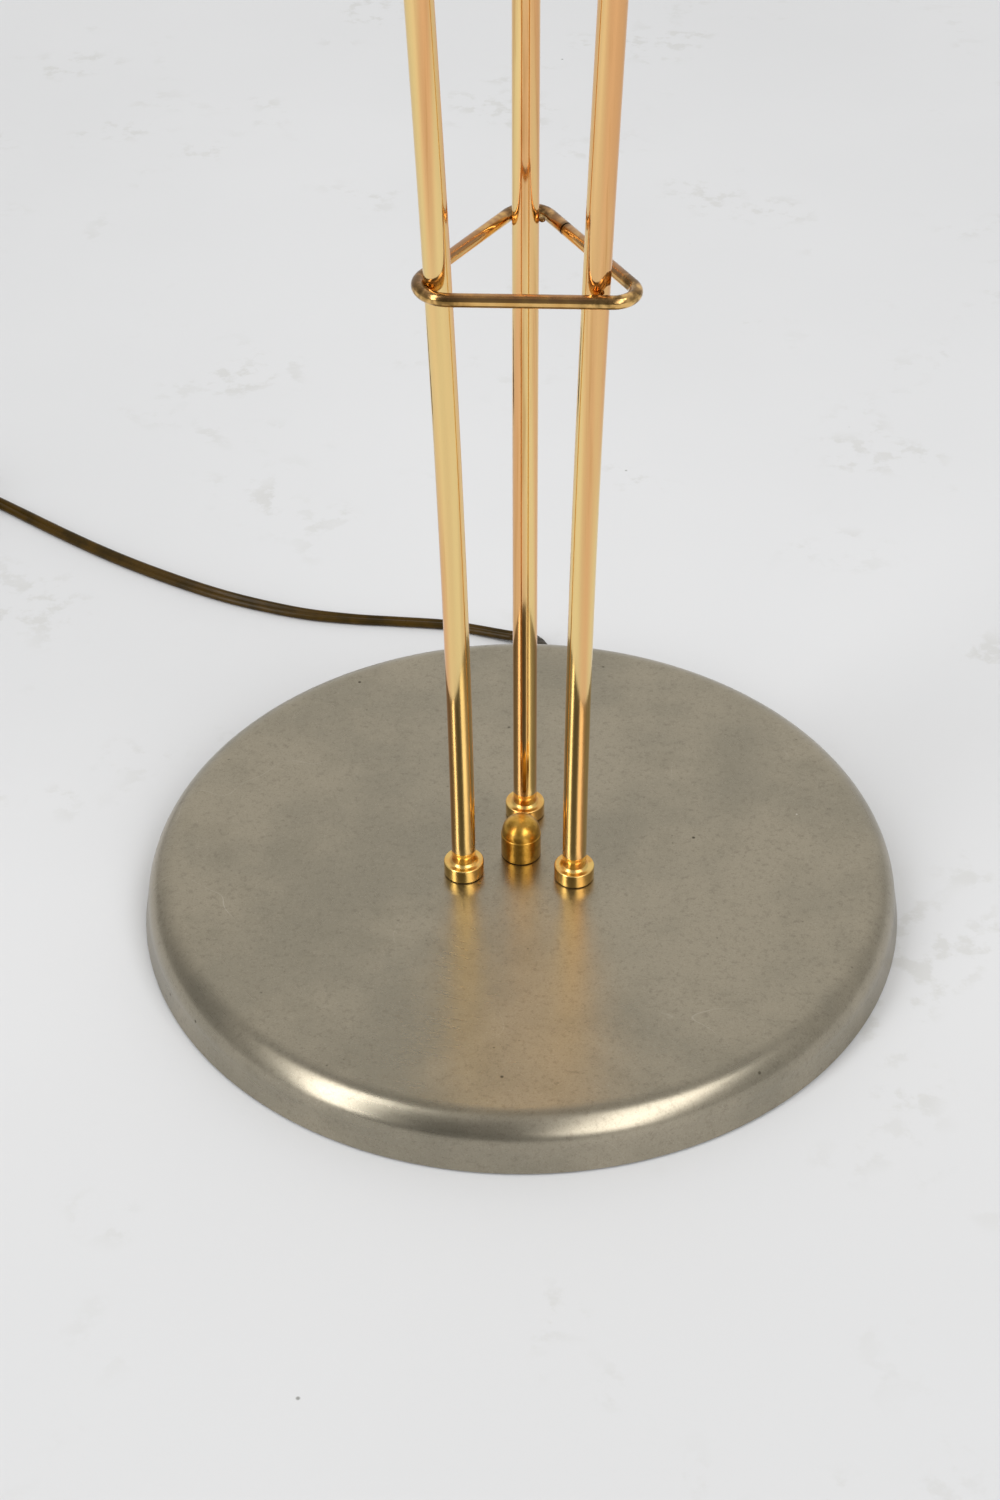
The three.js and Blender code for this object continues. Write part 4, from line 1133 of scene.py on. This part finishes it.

# %% [markdown]
# ## Floor
# A pale painted studio floor, as a wide disc so that no corner shows from any side. It is
# only the stage, but a few faint scuffs and specks keep it from looking like empty space.


# %% Floor
def pale_floor():
    finish = Finish("pale_floor")
    place = finish.place()
    broad = finish.noise(place, 1.6, 4.0, 0.55)
    patches = finish.noise(place, 9.0, 3.0, 0.6)
    scuffs = finish.noise(place, 70.0, 4.0, 0.6)
    fine = finish.noise(place, 700.0, 3.0, 0.6)
    tone = finish.mix(paint("e0e1e3"), paint("dcdddf"), finish.step(broad, 0.35, 0.65))
    worn = finish.step(patches, 0.54, 0.66) * finish.step(scuffs, 0.5, 0.62)
    tone = finish.mix(tone, paint("bdbcb5"), worn * 0.3)
    # Painted shade: the floor's tone darkens towards the front, where the camera stands.
    _, y, _ = finish.split(place)
    tone = finish.mix(tone, paint("cfd0d1"), finish.step(y, 0.1, -0.6) * 0.4)
    specks = finish.spots(place, 34.0, 0.035, 0.14)
    tone = finish.mix(tone, paint("6f6f68"), specks * 0.75)
    return finish.surface(
        base_color=tone, roughness=0.55 + scuffs * 0.15,
        normal=finish.bump(scuffs + fine * 0.5, 0.12, 0.0004),
    )


FLOOR_RADIUS = 3.4
ground = bmesh.new()
bmesh.ops.create_circle(ground, segments=128, radius=FLOOR_RADIUS, cap_ends=True)
floor_data = bpy.data.meshes.new("floor")
ground.to_mesh(floor_data)
ground.free()
floor_data.materials.append(pale_floor())
floor = bpy.data.objects.new("floor", floor_data)
scene.collection.objects.link(floor)

# %% [markdown]
# ## Light
# Two tall softboxes stand in front, one on each side, and the room is plain grey: lighter
# behind the lamp, and darker between the softboxes. Metal shows whatever is round it, so
# the room's tones matter as much as the lamps. Where the camera sees past the floor's edge,
# Light Path gives the room one pale tone, which puts no more light on the lamp.


# %% Softboxes
def direction_to(azimuth, elevation):
    angle, rise = math.radians(azimuth), math.radians(elevation)
    level = math.cos(rise)
    return Vector((math.cos(angle) * level, math.sin(angle) * level, math.sin(rise)))


def softbox(name, azimuth, elevation, lean, distance, width, height, radiance):
    """An area light that faces the base. Its power gives it an even brightness."""
    data = bpy.data.lights.new(name, "AREA")
    data.shape, data.size, data.size_y = "RECTANGLE", width, height
    data.energy = radiance * math.pi * width * height
    away = direction_to(azimuth, elevation)
    made = bpy.data.objects.new(name, data)
    facing = away.to_track_quat("Z", "Y").to_matrix().to_4x4()
    made.matrix_world = Matrix.Translation(away * distance) @ facing @ turn(lean)
    made.visible_camera = False
    scene.collection.objects.link(made)


softbox("softbox_left", 216, 39, 18, 6.0, 1.4, 7.6, 6.6)
softbox("softbox_right", 309, 42, -30, 6.0, 2.6, 7.2, 3.5)


# %% Room
ROOM_LEVEL, BEYOND_FLOOR = 0.46, 0.78
# Each soft patch: azimuth, elevation, its edge and its core in degrees, and how much lighter.
ROOM_PATCHES = [
    (95, 24, 62, 14, 0.36), (10, 25, 60, 10, 0.08), (252, 30, 58, 20, -0.28),
    (165, 40, 50, 15, -0.1),
]


def room():
    world = bpy.data.worlds.new("room")
    scene.world = world
    finish = Finish("room", world)
    direction = finish.node("ShaderNodeTexCoord", output="Generated")
    level = ROOM_LEVEL
    for azimuth, elevation, edge, core, lighter in ROOM_PATCHES:
        middle = tuple(direction_to(azimuth, elevation))
        nearness = finish.vector("DOT_PRODUCT", direction, middle, output="Value")
        patch = finish.step(nearness, math.cos(math.radians(edge)), math.cos(math.radians(core)))
        level = patch * lighter + level
    seen = finish.node("ShaderNodeLightPath", output="Is Camera Ray")
    level = level * (1 - seen) + seen * BEYOND_FLOOR
    color = finish.mix((1.0, 0.99, 0.965, 1), (1, 1, 1, 1), seen)
    shader = finish.node("ShaderNodeBackground", inputs={"Color": color, "Strength": level})
    finish.node_output("ShaderNodeOutputWorld", shader)


room()
